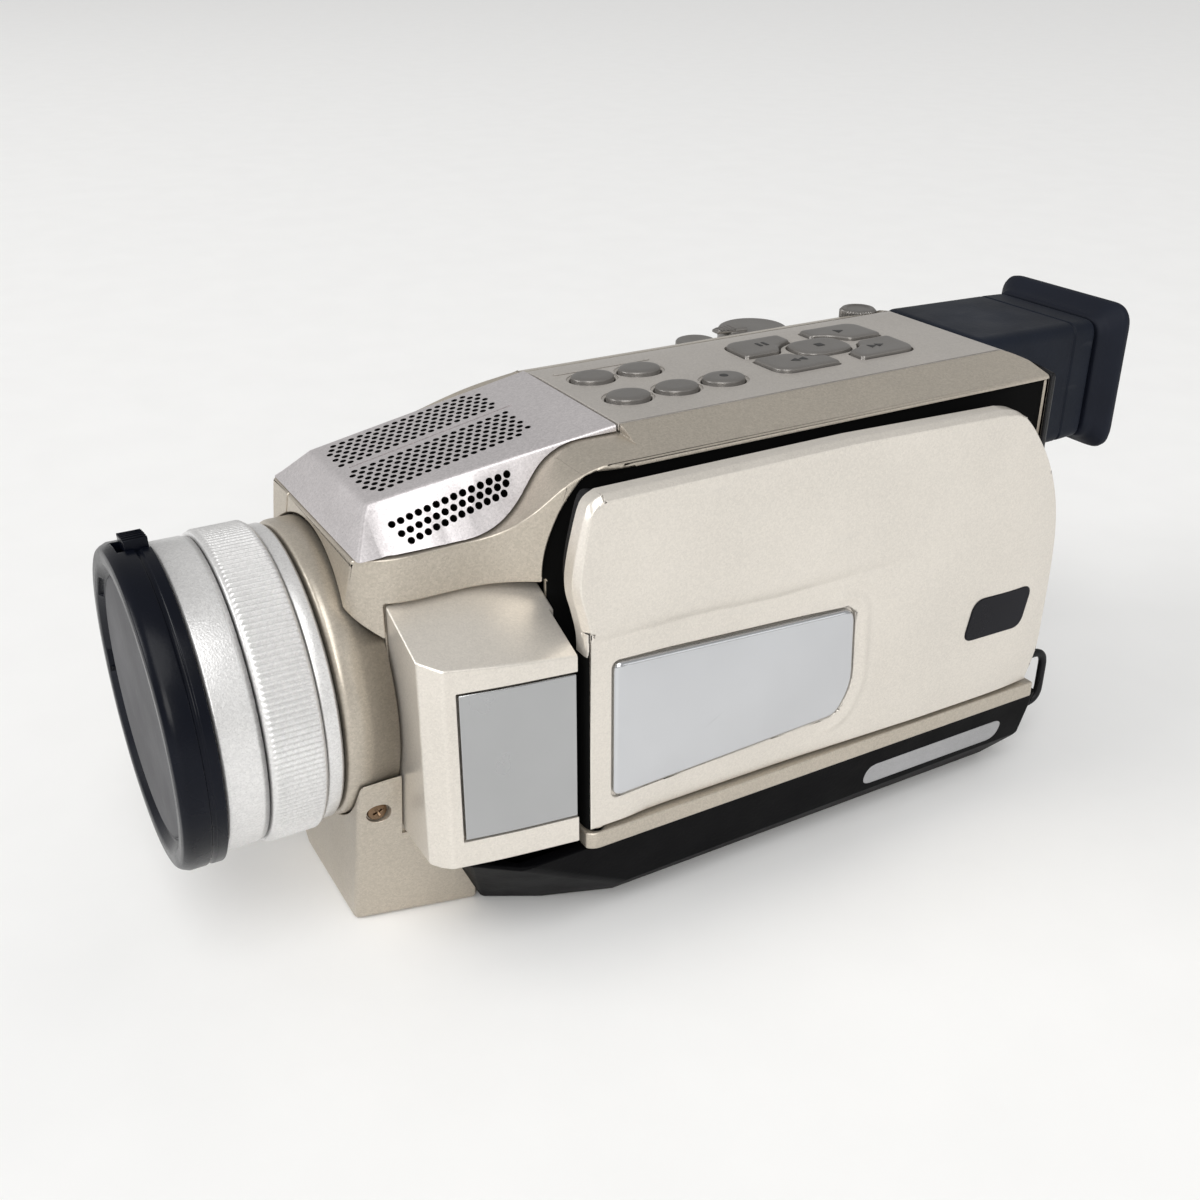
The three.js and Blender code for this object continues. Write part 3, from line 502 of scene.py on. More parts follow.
def glassy(name, colour, roughness=0.03):
    """A dark coated glass or screen surface, with faint dust in its gloss."""
    made = material(name, colour, roughness + 0.05, 0.0, (900, 0.01), 0.2, coat=1.0)
    made.node_tree.nodes["Principled BSDF"].inputs["Coat Roughness"].default_value = 0.02
    made.node_tree.nodes["Principled BSDF"].inputs["IOR"].default_value = 1.6
    return made


# The shells' champagne paint has a lighter copy below it for the screen cover and hinge housing: painted
# light.
CHAMPAGNE = material("champagne", (0.47, 0.425, 0.36), 0.37, 0.72, (5200, 0.16), 0.03, 0.5, 0.12)
CHAMPAGNE_PAINTED_LIGHTER = material("champagne_painted_lighter", (0.70, 0.66, 0.60), 0.34, 0.62, (5200, 0.10), 0.03, 0.28, 0.12)
LILAC = material("lilac_silver", (0.60, 0.57, 0.575), 0.36, 0.72, (5200, 0.18), 0.03, 0.55, 0.08)
DECK = material("deck_grey", (0.52, 0.49, 0.455), 0.42, 0.65, (4200, 0.14), 0.04, 0.35, 0.15)
SILVER = material("lens_silver", (0.70, 0.695, 0.69), 0.36, 0.6, (3600, 0.4), 0.03, 0.5, 0.08)
PLATE = material("satin_plate", (0.62, 0.63, 0.65), 0.2, 1.0, (1600, 0.05), 0.03, scuff=0.1,
                 brushed=(1, 0.06, 1))
# A darker copy of the satin plate finish, for the hinge block's plate: painted shade.
PLATE_PAINTED_DARKER = material("satin_plate_painted_darker", (0.45, 0.455, 0.46), 0.24, 1.0, (1600, 0.05), 0.03, scuff=0.1,
                       brushed=(1, 0.06, 1))
BLACK = material("black_plastic", (0.005, 0.005, 0.006), 0.45, 0.0, (1500, 0.3), 0.25, scuff=0.02,
                 specular=0.22)
# A darker copy of the black plastic, for the base under the body: painted shade.
BLACK_PAINTED_DARKER = material("black_plastic_painted_darker", (0.0015, 0.0015, 0.002), 0.5, 0.0, (1500, 0.3), 0.25, scuff=0.006,
                      specular=0.04)
CAP = material("cap_plastic", (0.003, 0.004, 0.008), 0.26, 0.0, (1800, 0.12), 0.25, scuff=0.02, specular=0.14)
CAP_FACE = material("cap_face", (0.07, 0.07, 0.075), 0.6, 0.0, (1400, 0.5), 0.15, scuff=0.15, specular=0.3)
FINDER = material("finder_plastic", (0.006, 0.009, 0.017), 0.5, 0.0, (1300, 0.35), 0.2, scuff=0.04,
                  specular=0.16)
RUBBER = material("rubber", (0.005, 0.007, 0.014), 0.62, 0.0, (900, 0.25), 0.2, specular=0.2)
KEY = material("key_grey", (0.19, 0.18, 0.17), 0.36, 0.6, (3000, 0.12), 0.08, 0.15, 0.1)
MARK = material("mark_black", (0.02, 0.02, 0.02), 0.5, 0.0, (2500, 0.1), 0.1)
BADGE = material("badge_black", (0.008, 0.008, 0.011), 0.22, 0.0, (2000, 0.03), 0.1, specular=0.12)
PILL = material("pill_grey", (0.36, 0.36, 0.37), 0.4, 0.3, (3000, 0.15), 0.12, 0.3, 0.2)
BRASS = material("brass", (0.22, 0.145, 0.09), 0.25, 1.0, (2200, 0.1), 0.15, scuff=0.25)
STEEL = material("steel", (0.50, 0.51, 0.52), 0.3, 1.0, (2400, 0.08), 0.05, scuff=0.1, brushed=(1, 0.08, 1))
# Near-black: the own colour of the inner parts kept further down, and painted shade on the well's faces
# (black plastic there, darkened further), on the grille cover's inside and hole walls, and on the screen
# cover's front edge.
BLACK_AND_PAINTED_SHADE = material("inside_black_and_painted_shade", (0.003, 0.003, 0.003), 0.8, 0.0, (1500, 0.2), 0.2, specular=0.05)
BOARD = material("board_green", (0.02, 0.13, 0.07), 0.35, 0.0, (900, 0.2), 0.3)
GLASS = glassy("coated_glass", (0.012, 0.018, 0.030))
SCREEN = glassy("screen", (0.010, 0.011, 0.014), 0.06)
WEBBING = woven("webbing", (0.022, 0.022, 0.026), 0.0011)
PADDING = woven("padding", (0.016, 0.016, 0.020), 0.0022, 0.9)


# ---------------------------------------------------------------- placing pieces
def tidied(mesh):
    body = bmesh.new()
    body.from_mesh(mesh)
    bmesh.ops.remove_doubles(body, verts=body.verts, dist=0.002)
    bmesh.ops.dissolve_degenerate(body, edges=body.edges, dist=0.002)
    bmesh.ops.dissolve_limit(body, angle_limit=math.radians(0.6), verts=body.verts, edges=body.edges,
                             delimit={"MATERIAL"})
    body.to_mesh(mesh)
    body.free()


def piece(thing, name, body, look, slot, *nodes, bevel=0.25, steps=2, angle=28, flat=False, inside=None,
          sharp=None):
    """Puts a shape in the row frame as a finished piece that rides on a body and stands for CAD nodes.

    flat leaves the mesh unmerged. inside is the material of the faces given painted shade. sharp shades the
    piece smooth up to that angle, in place of normals weighted by face area.
    """
    thing.name = name
    thing.data.name = name
    if not flat:
        tidied(thing.data)
    thing.data.transform(TO_ROW)
    shades = [face.material_index for face in thing.data.polygons]
    thing.data.materials.clear()
    thing.data.materials.append(look)
    if inside:
        thing.data.polygons.foreach_set("material_index", shades)
        thing.data.materials.append(inside)
    thing.data.polygons.foreach_set("use_smooth", [True] * len(thing.data.polygons))
    if bevel:
        edge = edge_bevel(thing, bevel / 1000, steps, angle)
        edge.use_clamp_overlap = False
        edge.miter_outer = "MITER_ARC"
    if sharp:
        thing.data.set_sharp_from_angle(angle=math.radians(sharp))
    else:
        weighted = thing.modifiers.new("shading", "WEIGHTED_NORMAL")
        weighted.keep_sharp = True
        weighted.weight = 80
    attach(thing, body)
    if nodes:
        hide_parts(*nodes)
    return thing


# ---------------------------------------------------------------- the body that the shells are cut from
SECTION = [
    (DECK_OUTER_X, DECK_TOP, 0.8),
    (DECK_INNER_X, DECK_TOP, 6),
    (-27, 33.2, 8),
    (SIDE_X, 20, 8),
    (SIDE_X, BASE_TOP + GAP),
    (RECESS_X, BASE_TOP + GAP),
    (RECESS_X, 36.9, 0.6),
]
PLAN = [
    (-17, BODY_FRONT_Y, 5),
    (17.5, BODY_FRONT_Y, 5),
    (22, 13, 5),
    (22, 29, 6),
    (RECESS_X, 42, 6),
    (RECESS_X, BODY_REAR_Y, 3),
    (SIDE_X, BODY_REAR_Y, 7),
    (SIDE_X, 38, 12),
    (-22, 18, 8),
]
PROFILE = [
    (BODY_FRONT_Y, -30),
    (BODY_REAR_Y, -30),
    (BODY_REAR_Y, 36, 5),
    (BODY_REAR_Y - 5, DECK_TOP + 0.2, 5),
    (MIC_REAR_Y + GAP, DECK_TOP + 0.2),
    (MIC_REAR_Y + GAP, 37.9),
    (40.5, 37.1, 6),
    (31, 26.3, 6),
    (MIC_FRONT_Y, 25.7, 0.6),
    (BODY_FRONT_Y, 13),
]
DECK_BOTTOM = DECK_TOP - 1.2


def shoulder_clip(d):
    def height(x, y):
        return 40 + 0.158 * (y - 50.3) + 0.55 * (x + 10) - d * 1.1

    return hull([(x, y, z) for y in (0, 140) for x in (-60, 60) for z in (height(x, y), -60)])


def body_block(d):
    return common(
        prism("y", outline(inset(SECTION, d)), BODY_FRONT_Y + d, BODY_REAR_Y - d),
        prism("z", outline(inset(PLAN, d)), -30, 45),
        prism("x", outline(inset(PROFILE, d)), -50, 50),
        shoulder_clip(d),
    )


BODY_SHELL = cut(
    body_block(0),
    common(body_block(WALL), box(-60, 60, BODY_FRONT_Y + 3.4, 140, -60, 60)),
    box(-35.5, 28.3, 12, 131.8, -40, -20),
)


def block_pocket():
    return box(BLOCK_INNER_X - GAP, 60, BLOCK_FRONT_Y - GAP, BLOCK_REAR_Y + GAP, -40, BLOCK_TOP + GAP)


def lens_bores():
    return [
        rod("y", SHROUD_R + GAP, -5, BLOCK_FRONT_Y - GAP, (0, 0), 128),
        rod("y", SLEEVE_R + 0.5, -6, 14, (0, 0), 128),
    ]


def front_pocket():
    return box(-60, 60, 0, 17.3, -40, FRONT_TOP + GAP)


def door_region(g):
    return box(-60, -20, 43 - g, 113 + g, -22.8 - g, 27 + g)


def jack_region(g):
    return box(-60, -20, 21.8 - g, 33.2 + g, 3.8 - g, 12.2 + g)


def left_shell():
    edge = [
        (28.6, 34.4), (PANEL_FACE_X - 2, 34.4, 1), (PANEL_FACE_X, 37, 1), (PANEL_FACE_X, 130.9),
        (28.6, 130.9),
    ]
    lip = prism("z", outline(edge), *LIP)
    half = common(copy(BODY_SHELL), box(DECK_INNER_X + GAP / 2, 60, 0, REAR_COVER_Y, -60, 60))
    shell = cut(
        join(half, lip),
        box(DECK_INNER_X - GAP, DECK_OUTER_X - 0.1, MIC_REAR_Y - 0.1, 131, DECK_BOTTOM - GAP, 60),
        box(DECK_INNER_X + 1.5, DECK_OUTER_X - 1.8, MIC_REAR_Y + 1.5, 129, 30, 60),
        block_pocket(),
        front_pocket(),
        box(19.5, 23, 9.9, BLOCK_FRONT_Y, FRONT_TOP - 1, FRONT_TOP + 2.1),
        *lens_bores(),
        rod("z", 1.2, -30, -15, HINGE, 32),
    )
    # The well that the screen cover closes into. Its faces are near-black: black plastic, darkened further as
    # painted shade of the deep gap.
    plan = [(24.3, 34.6), (60, 34.6), (60, 130.2), (30.1, 130.2), (30.1, 47), (29.4, 44.6), (28.6, 41.4)]
    face = outline([
        (34.9, -20.1), (130.2, -20.1), (130.2, 36.2), (40.6, 36.2, 2), (37.4, 31, 5), (34.9, 23, 5),
    ])
    return cut_painting_shade(shell, common(prism("z", plan, -20.1, 36.2), prism("x", face, 20, 60)))


def right_shell():
    half = common(copy(BODY_SHELL), box(-60, DECK_INNER_X - GAP / 2, 0, REAR_COVER_Y, -60, 60))
    wells = [rod("z", r + 0.4, 20, 60, (x, y), 64) for x, y, r in (ZOOM, PHOTO, DIAL)]
    return cut(half, front_pocket(), *lens_bores(), door_region(0.5), *wells, jack_region(GAP))


def cassette_door():
    panel = common(copy(BODY_SHELL), door_region(0))
    lugs = [
        cut(
            prism("y", outline(rect(SIDE_X - 5, SIDE_X + 1, -13, 15, 1.2)), y, y + 2.6),
            prism("y", outline(rect(SIDE_X - 3.6, SIDE_X - 1.6, -10, 12, 0.8)), y - 1, y + 4),
        )
        for y in (45.5, 108)
    ]
    grip = [box(-39.2, -37.5, 74 + 1.6 * k, 74.8 + 1.6 * k, 19.5, 21.2) for k in range(6)]
    return cut(join(panel, *lugs), box(-38.4, -37.7, 46, 110, -16.2, -15.8), *grip)


def rear_cover():
    slab = common(
        join(copy(BODY_SHELL), common(body_block(0), box(-50, 50, 131.5, 140, -60, 60))),
        box(-50, 50, REAR_COVER_Y + GAP, 140, -60, 60),
    )
    slots = (-3, -5.2, -7.4, -9.6, -11.8)
    speaker = [prism("y", outline(rect(14.6, 25.4, z, z + 0.9, 0.45)), 133.1, 140) for z in slots]
    frame_line = cut(
        prism("y", outline(rect(-25.2, 13.2, -22, 9.2, 2.4)), 133.5, 140),
        prism("y", outline(rect(-24.7, 12.7, -30, 8.7, 2)), 130, 141),
    )
    return cut(
        slab,
        box(-13, 7, 120, 140, 16.5, 33.5),
        rod("y", 6, 120, 140, RECORD, 64),
        box(-32.4, -27.6, 120, 140, -12, -3),
        box(27.7, 29.9, 120, 140, -24, -20.3),
        *speaker,
        frame_line,
    )


# ---------------------------------------------------------------- deck and its buttons
OVALS = {
    "light_button": (11.2, 58.2),
    "stabiliser_button": (11.2, 67.3),
    "fade_button": (11.2, 76.4),
    "auto_button": (0, 58),
    "focus_button": (0, 67),
}
# The tape keys: four around an oval one. The numbers give the side of the centre each key lies on.
KEYS = {
    "pause_key": (-1, -1),
    "rewind_key": (1, -1),
    "stop_key": (0, 0),
    "play_key": (-1, 1),
    "forward_key": (1, 1),
}
KEY_CENTRE = (4.8, 101)
CORNER_KEY = [
    (0.9, 7.9, 0.8),
    (3.9, 5.9, 1.4),
    (5.4, 2.4, 0.6),
    (9.1, 2.4, 0.8),
    (9.1, 14.6, 3),
    (0.9, 14.8, 0.8),
]


def oval(x, y, g):
    angles = np.linspace(0, 2 * math.pi, 48, False)
    return [(x + (3.1 + g) * math.cos(a), y + (3.7 + g) * math.sin(a)) for a in angles]


def key_shape(sx, sy, g):
    x, y = KEY_CENTRE
    if not sx:
        return outline(rect(x - 4.1 - g, x + 4.1 + g, y - 5.4 - g, y + 5.4 + g, 3.6 + g), 12)
    loop = [(x + sx * u, y + sy * v) for u, v in outline(inset(CORNER_KEY, -g), 8)]
    return loop[::-1] if sx * sy < 0 else loop


def top_deck():
    corners = [
        (DECK_INNER_X, MIC_REAR_Y + GAP),
        (DECK_OUTER_X - GAP, MIC_REAR_Y + GAP),
        (DECK_OUTER_X - GAP, 130.7),
        (DECK_INNER_X, 130.7),
    ]
    plate = common(prism("z", corners, DECK_BOTTOM, 45), body_block(0))
    holes = [prism("z", oval(x, y, GAP), 30, 45) for x, y in OVALS.values()]
    holes += [prism("z", key_shape(*key, GAP), 30, 45) for key in KEYS.values()]
    rims = [prism("z", oval(x, y, 0.7), DECK_TOP - 0.3, 45) for x, y in OVALS.values()]
    bracket = cut(
        prism("z", outline(rect(-5.0, -4.1, 53.2, 71.6, 0.4), 4), DECK_TOP - 0.2, DECK_TOP + 0.14),
        box(-5.4, -4.5, 54, 70.8, DECK_TOP - 1, DECK_TOP + 1),
    )
    return join(cut(plate, *holes, *rims), bracket)


def button(loop, skirt, crown):
    """A cap with a slightly raised middle, on a skirt."""
    middle = np.mean(loop, axis=0)
    levels = [(0, -2.6), (0, 0.25), (0.15, 0.47), (0.35, 0.58), (0.8, 0.6 + crown * 0.6), (1.5, 0.6 + crown)]
    rows = []
    for d, height in levels:
        row = []
        for u, v in loop:
            away = np.array((u, v)) - middle
            length = np.linalg.norm(away)
            row.append((*(middle + away * (length - d) / length), DECK_TOP + height))
        rows.append(row)
    return join(lofted(rows), prism("z", skirt, DECK_TOP - 4.2, DECK_TOP - 2.5))


def icon(kind, x, y, top):
    """Generic transport marks, laid flat on a key."""
    level = top - 0.1, top + 0.06

    def arrow(y0, way, size=1.5):
        return prism("z", [(x - size * 0.55, y0), (x + size * 0.55, y0), (x, y0 + way * size)], *level)

    if kind == "pause_key":
        return [box(x - 0.9, x + 0.9, y + low, y + low + 0.6, *level) for low in (-0.95, 0.35)]
    if kind == "rewind_key":
        return [arrow(y + 1.6, -1), arrow(y, -1)]
    if kind == "stop_key":
        return [box(x - 0.75, x + 0.75, y - 0.75, y + 0.75, *level)]
    if kind == "play_key":
        return [arrow(y - 0.8, 1, 1.7)]
    return [arrow(y - 1.6, 1), arrow(y, 1)]


# ---------------------------------------------------------------- microphone cover
TOP_SLOPE = (39.2 - 32) / (MIC_REAR_Y - 13)


def mic_wedge():
    above = [
        (MIC_FRONT_Y - 8, 25.7 + GAP),
        (MIC_FRONT_Y, 25.7 + GAP),
        (31 - GAP, 26.3 + GAP, 6),
        (40.5 - GAP, 37.1 + GAP, 6),
        (MIC_REAR_Y, 37.9 + GAP),
        (MIC_REAR_Y, 50),
        (MIC_FRONT_Y - 8, 50),
    ]
    rows = []
    for y in [0, 4, 8, 12, *np.linspace(14, 58, 45)]:
        top = 32 + TOP_SLOPE * (y - 13)
        rows.append([
            (np.interp(y, [0, 12.4, 30, 42, 50.3, 58], [30.4, 27.9, 25.4, 23.6, 22.6, 22.4]), y, 20),
            (np.interp(y, [0, 12.4, 50.3, 58], [12.9, 14.2, 20.9, 22.2]), y, top),
            (np.interp(y, [0, 12.4, 50.3, 58], [-10.6, -10.5, -10, -10]), y, top),
            (np.interp(y, [0, 12.4, 30, 58], [-25.5, -26.5, -29, -30]), y, 20),
        ])
    side = ((4.2, 20), (12.6, 32), (33, 61), (90, 61), (90, 15), (4.2, 15))
    front = hull([(x, y, z) for x in (-50, 50) for y, z in side])
    wedge = rounded(common(lofted(rows), front), 2.2, 6, 20, merge=False)
    return common(prism("x", outline(above), -60, 60), wedge)


def grille_pegs(cover):
    """The drills for the holes of the top and side grilles, square to the cover's surface."""
    pegs = []
    surface = surface_of(cover)
    up = Vector((0, -TOP_SLOPE, 1)).normalized()
    out = Vector((0.68, -0.08, 0.73)).normalized()
    rows = [-0.7 - 1.3 * k for k in range(7)] + [2.9 + 1.3 * k for k in range(8)]
    for n, x in enumerate(rows):
        stagger = (n % 2) * 0.75
        outermost = x in (rows[6], rows[-1])
        for k in range(18 - 2 * outermost):
            y = 14.4 + stagger + 1.5 * (k + outermost)
            at = Vector((x, y, 32 + TOP_SLOPE * (y - 13)))
            pegs.append(peg(at - up * 2.6, at + up * 2, 0.52, 12))
    for (y0, z0), (y1, z1), count in (
        ((15.0, 29.4), (33.0, 33.9), 14),
        ((15.9, 28.3), (32.6, 32.7), 13),
        ((16.9, 27.4), (32.0, 31.4), 12),
    ):
        for k in range(count):
            s = k / (count - 1)
            start = Vector((60, y0 + (y1 - y0) * s, z0 + (z1 - z0) * s))
            at = surface.ray_cast(start, Vector((-1, 0, 0)))[0]
            pegs.append(peg(at - out * 2.2, at + out * 2, 0.56, 14))
    return pegs


def mic_cover():
    """The perforated cover over the microphone. Its inside and the walls of its holes are painted dark:
    painted shade.
    """
    room = hull([
        (14, 11, 20),
        (17.2, 34, 20),
        (16.2, 46, 36.6),
        (10.6, 15.6, 30.2),
        (-7.6, 15.6, 30.2),
        (-8.2, 46, 36.6),
        (-13.6, 11, 20),
        (-17.4, 34, 20),
    ])
    groove = hull([
        (x, y, 32 + TOP_SLOPE * (y - 13) + dz) for y in (15, 42.6) for x in (0.88, 1.32) for dz in (-0.25, 2)
    ])
    cover = cut(mic_wedge(), groove)
    return cut_painting_shade(cover, gathered(grille_pegs(cover)), room)


# ---------------------------------------------------------------- lens and cap
def lens_barrel():
    return turned("y", [
        (21.5, -14.9), (23.9, -14.9), (24.2, -14.75), (24.4, -14.4), (24.4, -9.6), (24.15, -9.45),
        (24.15, -8.7), (20.6, -8.7), (20.6, 11.4), (18.6, 11.4),
        (18.6, -9), (20.4, -9), (20.4, -10), (21.5, -10.4),
    ], segments=160)


def focus_ring(grooves=174):
    """The knurled ring: fine straight grooves between two plain rims."""
    samples = grooves * 6
    depth = np.array([0, 0, 0.12, 0.38, 0.38, 0.12])
    levels = [
        (20.95, -8.4, 0), (24.35, -8.4, 0), (24.75, -8.2, 0), (24.8, -7.85, 0), (25.0, -7.6, 0.35),
        (25.0, -7.2, 1), (25.0, -0.9, 1), (25.0, -0.55, 0.35), (24.8, -0.35, 0), (24.6, 0, 0), (20.95, 0, 0),
    ]
    rows = []
    for r, y, share in levels:
        row = []
        for k in range(samples):
            angle = 2 * math.pi * k / samples
            here = r - depth[k % 6] * share
            row.append((here * math.cos(angle), y, here * math.sin(angle)))
        rows.append(row)
    return ring_of(rows)


def rear_band():
    return turned("y", [
        (20.9, 0.3), (23.6, 0.3), (24.0, 0.55), (24.0, 2.3), (23.6, 2.8), (20.9, 2.8),
    ], segments=160)


def lens_shroud():
    return turned("y", [
        (20.9, 3.3), (23.3, 3.3), (23.7, 3.4), (24.0, 3.7), (24.15, 4.1), (24.2, 4.6), (24.2, 11.4),
        (20.9, 11.4),
    ], segments=160)


def front_glass():
    turns = np.linspace(0, math.pi / 2, 14)
    dome = [(18.2 * math.sin(t), -5.6 + 20 * (1 - math.cos(t * 0.62))) for t in turns]
    dome = [(r, min(y, 0)) for r, y in dome]
    return turned("y", [(0, -5.6), *dome[1:], (18.2, 0.6), (0, 0.6)], segments=96)


CAP_FACE_R = 20.4
TAB_TURN = math.radians(-8)


def lens_cap():
    body = turned("y", [
        (0, -20.2), (CAP_FACE_R + 0.5, -20.2), (CAP_FACE_R + 1.1, -20.5), (22.3, -21.35), (22.9, -21.6),
        (24.2, -21.6), (24.8, -21.4), (25.2, -20.9), (25.6, -20.0), (25.6, -17.6), (25.35, -17.4),
        (25.35, -16.9), (25.6, -16.7), (25.6, -15.2), (20, -15.2), (20, -12.2), (0, -12.2),
    ], segments=160)
    slots = []
    for centre, half in ((math.radians(143), 0.13), (math.radians(186), 0.09)):
        points = []
        for r in (20.7, 22.2):
            for k in range(9):
                a = centre - half + 2 * half * k / 8
                points += [(r * math.cos(a), y, r * math.sin(a)) for y in (-23, -20.6)]
        slots.append(hull(points))
    notches = [box(-2.9, 2.9, -20, -10, *z) for z in ((17.4, 40), (-40, -17.4))]
    for notch in notches:
        notch.data.transform(Matrix.Rotation(TAB_TURN, 4, "Y"))
    return cut(body, *notches, *slots)


def cap_face():
    """The cap's flat disc, let into its face."""
    return turned("y", [
        (0, -20.75), (CAP_FACE_R - 0.5, -20.75), (CAP_FACE_R, -20.55), (CAP_FACE_R, -20.15), (0, -20.15),
    ], segments=128)


def cap_tab(side):
    block = common(
        box(-2.6, 2.6, -18.9, -15.4, 19.6, 30),
        rod("y", 26.9, -25, -10, (0, 0), 160),
    )
    grooves = []
    for k in range(-2, 3):
        a = math.radians(90 + k * 2.1)
        x, z = 26.85 * math.cos(a), 26.85 * math.sin(a)
        grooves.append(peg((x, -25, z), (x, -10, z), 0.34, 10))
    block = cut(block, gathered(grooves))
    block.data.transform(Matrix.Rotation(TAB_TURN + (math.pi if side < 0 else 0), 4, "Y"))
    return block


# ---------------------------------------------------------------- lower front and base
def front_block(g):
    return hull([
        (13.6 + g, 4.8 - g, GROUND - g),
        (18.4 + g, FRONT_REAR_Y + g, GROUND - g),
        (22.6 + g, 4.8 - g, FRONT_TOP),
        (23.4 + g, FRONT_REAR_Y + g, FRONT_TOP),
        (-10.5 - g, 4.8 - g, GROUND - g),
        (-17 - g, FRONT_REAR_Y + g, GROUND - g),
        (-17.5 - g, 4.8 - g, -34),
        (-22 - g, FRONT_REAR_Y + g, -34),
        (-20 - g, 4.8 - g, FRONT_TOP),
        (-21.5 - g, FRONT_REAR_Y + g, FRONT_TOP),
    ])


def front_cover():
    room = hull([
        (11, 7, GROUND + 2.2),
        (16, 40, GROUND + 2.2),
        (17, 7, FRONT_TOP + 9),
        (17.6, 40, FRONT_TOP + 9),
        (-9, 7, GROUND + 2.2),
        (-14.6, 40, GROUND + 2.2),
        (-15.4, 7, -33.5),
        (-19.8, 40, -33.5),
        (-17.6, 7, FRONT_TOP + 9),
        (-19.2, 40, FRONT_TOP + 9),
    ])
    return cut(
        rounded(front_block(0), 1.0),
        room,
        box(-60, 60, 17, 60, BASE_TOP, 20),
        *lens_bores(),
        box(BLOCK_INNER_X - GAP, 60, BLOCK_FRONT_Y - GAP, 60, BLOCK_BOTTOM - GAP, 20),
        rod("x", 1.9, 20.1, 30, SCREW),
        rod("x", 1, 10, 31, SCREW),
    )


def front_screw():
    """A small cross-head screw."""
    dome = [(0, 20.2), (1.65, 20.2), (1.65, 20.5), (1.45, 20.72), (0.9, 20.86), (0, 20.9)]
    head = turned("x", dome, SCREW, 48)
    y, z = SCREW
    cross = []
    for turn in (0.35, 0.35 + math.pi / 2):
        c, s = math.cos(turn), math.sin(turn)
        points = []
        for u, v in ((-1.1, -0.2), (1.1, -0.2), (1.1, 0.2), (-1.1, 0.2)):
            points.append((21.2, y + u * c - v * s, z + u * s + v * c))
            points.append((20.4, y + u * 0.45 * c - v * s, z + u * 0.45 * s + v * c))
        cross.append(hull(points))
    return cut(join(head, rod("x", 0.7, 19.3, 20.3, SCREW, 24)), *cross)


def base_block(d):
    half = [
        (21 - d, BASE_FRONT_Y + d, BASE_TOP),
        (31.5 - d, BASE_FRONT_Y + 1 + d, BASE_TOP),
        (36.6 - d, 25, BASE_TOP),
        (36.8 - d, BODY_REAR_Y - d, BASE_TOP),
        (18.6 - d, 25.6 + d, GROUND + d),
        (23.6 - d, 34.5, GROUND + d),
        (27.6 - d, 46, GROUND + d),
        (27.8 - d, 131 - d, GROUND + d),
        (33.4 - d, 44, -36 + d),
        (33.6 - d, 134.6 - d, -35 + d),
    ]
    return hull(half + [(-x, y, z) for x, y, z in half])


def base_cover():
    block = rounded(base_block(0), 1.1, angle=20)
    inside = base_block(WALL)
    inside.data.transform(Matrix.Translation((0, 0, 0.02)))
    boss = rod("z", 8, GROUND + 1, -34, TRIPOD)
    anchor = common(box(31.5, 36, 129, BODY_REAR_Y - 0.2, -35, BASE_TOP), base_block(0.3))
    base = join(cut(block, inside), boss, anchor)
    x, y = EJECT
    return cut(
        base,
        front_block(GAP),
        rod("z", 5.3, -60, -36, TRIPOD),
        box(27.6, 30, 130.6, 140, -34, -23),
        box(x - 4.4, x + 4.4, y - 3.4, y + 7.4, -60, -39),
        *[box(-24, 24, 44.4 + 24 * k, 45.2 + 24 * k, GROUND - 1, GROUND + 0.35) for k in range(4)],
    )


def base_pill():
    """The plain badge on the base's sloping side."""
    a, b = Vector((36.8, 134, BASE_TOP)), Vector((33.6, 134.6, -35))
    slope = (a.x - b.x) / (a.z - b.z)
    rows = []
    for lift, d in ((-0.2, 0), (0.12, 0), (0.2, 0.25)):
        loop = outline(rect(94.5 + d, 127.2 - d, -33.6 + d, -28.6 - d, 2.5 - d), 14)
        rows.append([(b.x + (z - b.z) * slope + lift - (134 - y) * 0.0022, y, z) for y, z in loop])
    return lofted(rows)


def tripod_socket():
    thread = [(3.2 if k % 2 else 2.95, -37.7 - 0.32 * k) for k in range(12)]
    profile = [(0, -36.4), (5, -36.4), (5, -41.6), (3.3, -41.6), *thread[::-1], (0, -37.6)]
    return turned("z", profile, TRIPOD, 48)


def strap_loop():
    """The round wire loop at the back corner, bent to a D."""
    path = outline(rect(131.8, 143.7, -32.7, -21.4, 3.2), 8)
    r, sides = 0.8, 12
    angles = [2 * math.pi * k / sides for k in range(sides)]
    section = [(r * math.cos(a), r * math.sin(a)) for a in angles]
    return ring_of([
        [(28.8 + up, y - left[0] * across, z - left[1] * across) for across, up in section]
        for (y, z), left in zip(path, left_of(path))
    ])


# ---------------------------------------------------------------- hinge block and screen
BLOCK_PLAN = [
    (BLOCK_INNER_X, BLOCK_FRONT_Y),
    (31.2, BLOCK_FRONT_Y, 0.5),
    (33.6, 14.8, 0.5),
    (35.4, 24, 10),
    (BLOCK_OUTER_X, BLOCK_REAR_Y, 0.6),
    (BLOCK_INNER_X, BLOCK_REAR_Y),
]


def trim_band(g):
    """The plate that wraps the hinge block's outer face, or its seat where g is over 0."""
    return cut(
        prism("z", outline(BLOCK_PLAN, 14), -16.6 - g, 8.6 + g),
        prism("z", outline(inset(BLOCK_PLAN, 1 + g), 14), -30, 30),
        box(0, 31.4 - g, 0, 60, -40, 40),
        box(0, 60, BLOCK_REAR_Y - 0.9 + g, 60, -41, 41),
        box(0, 60, 0.5, 17 - g, -42, 42),
    )


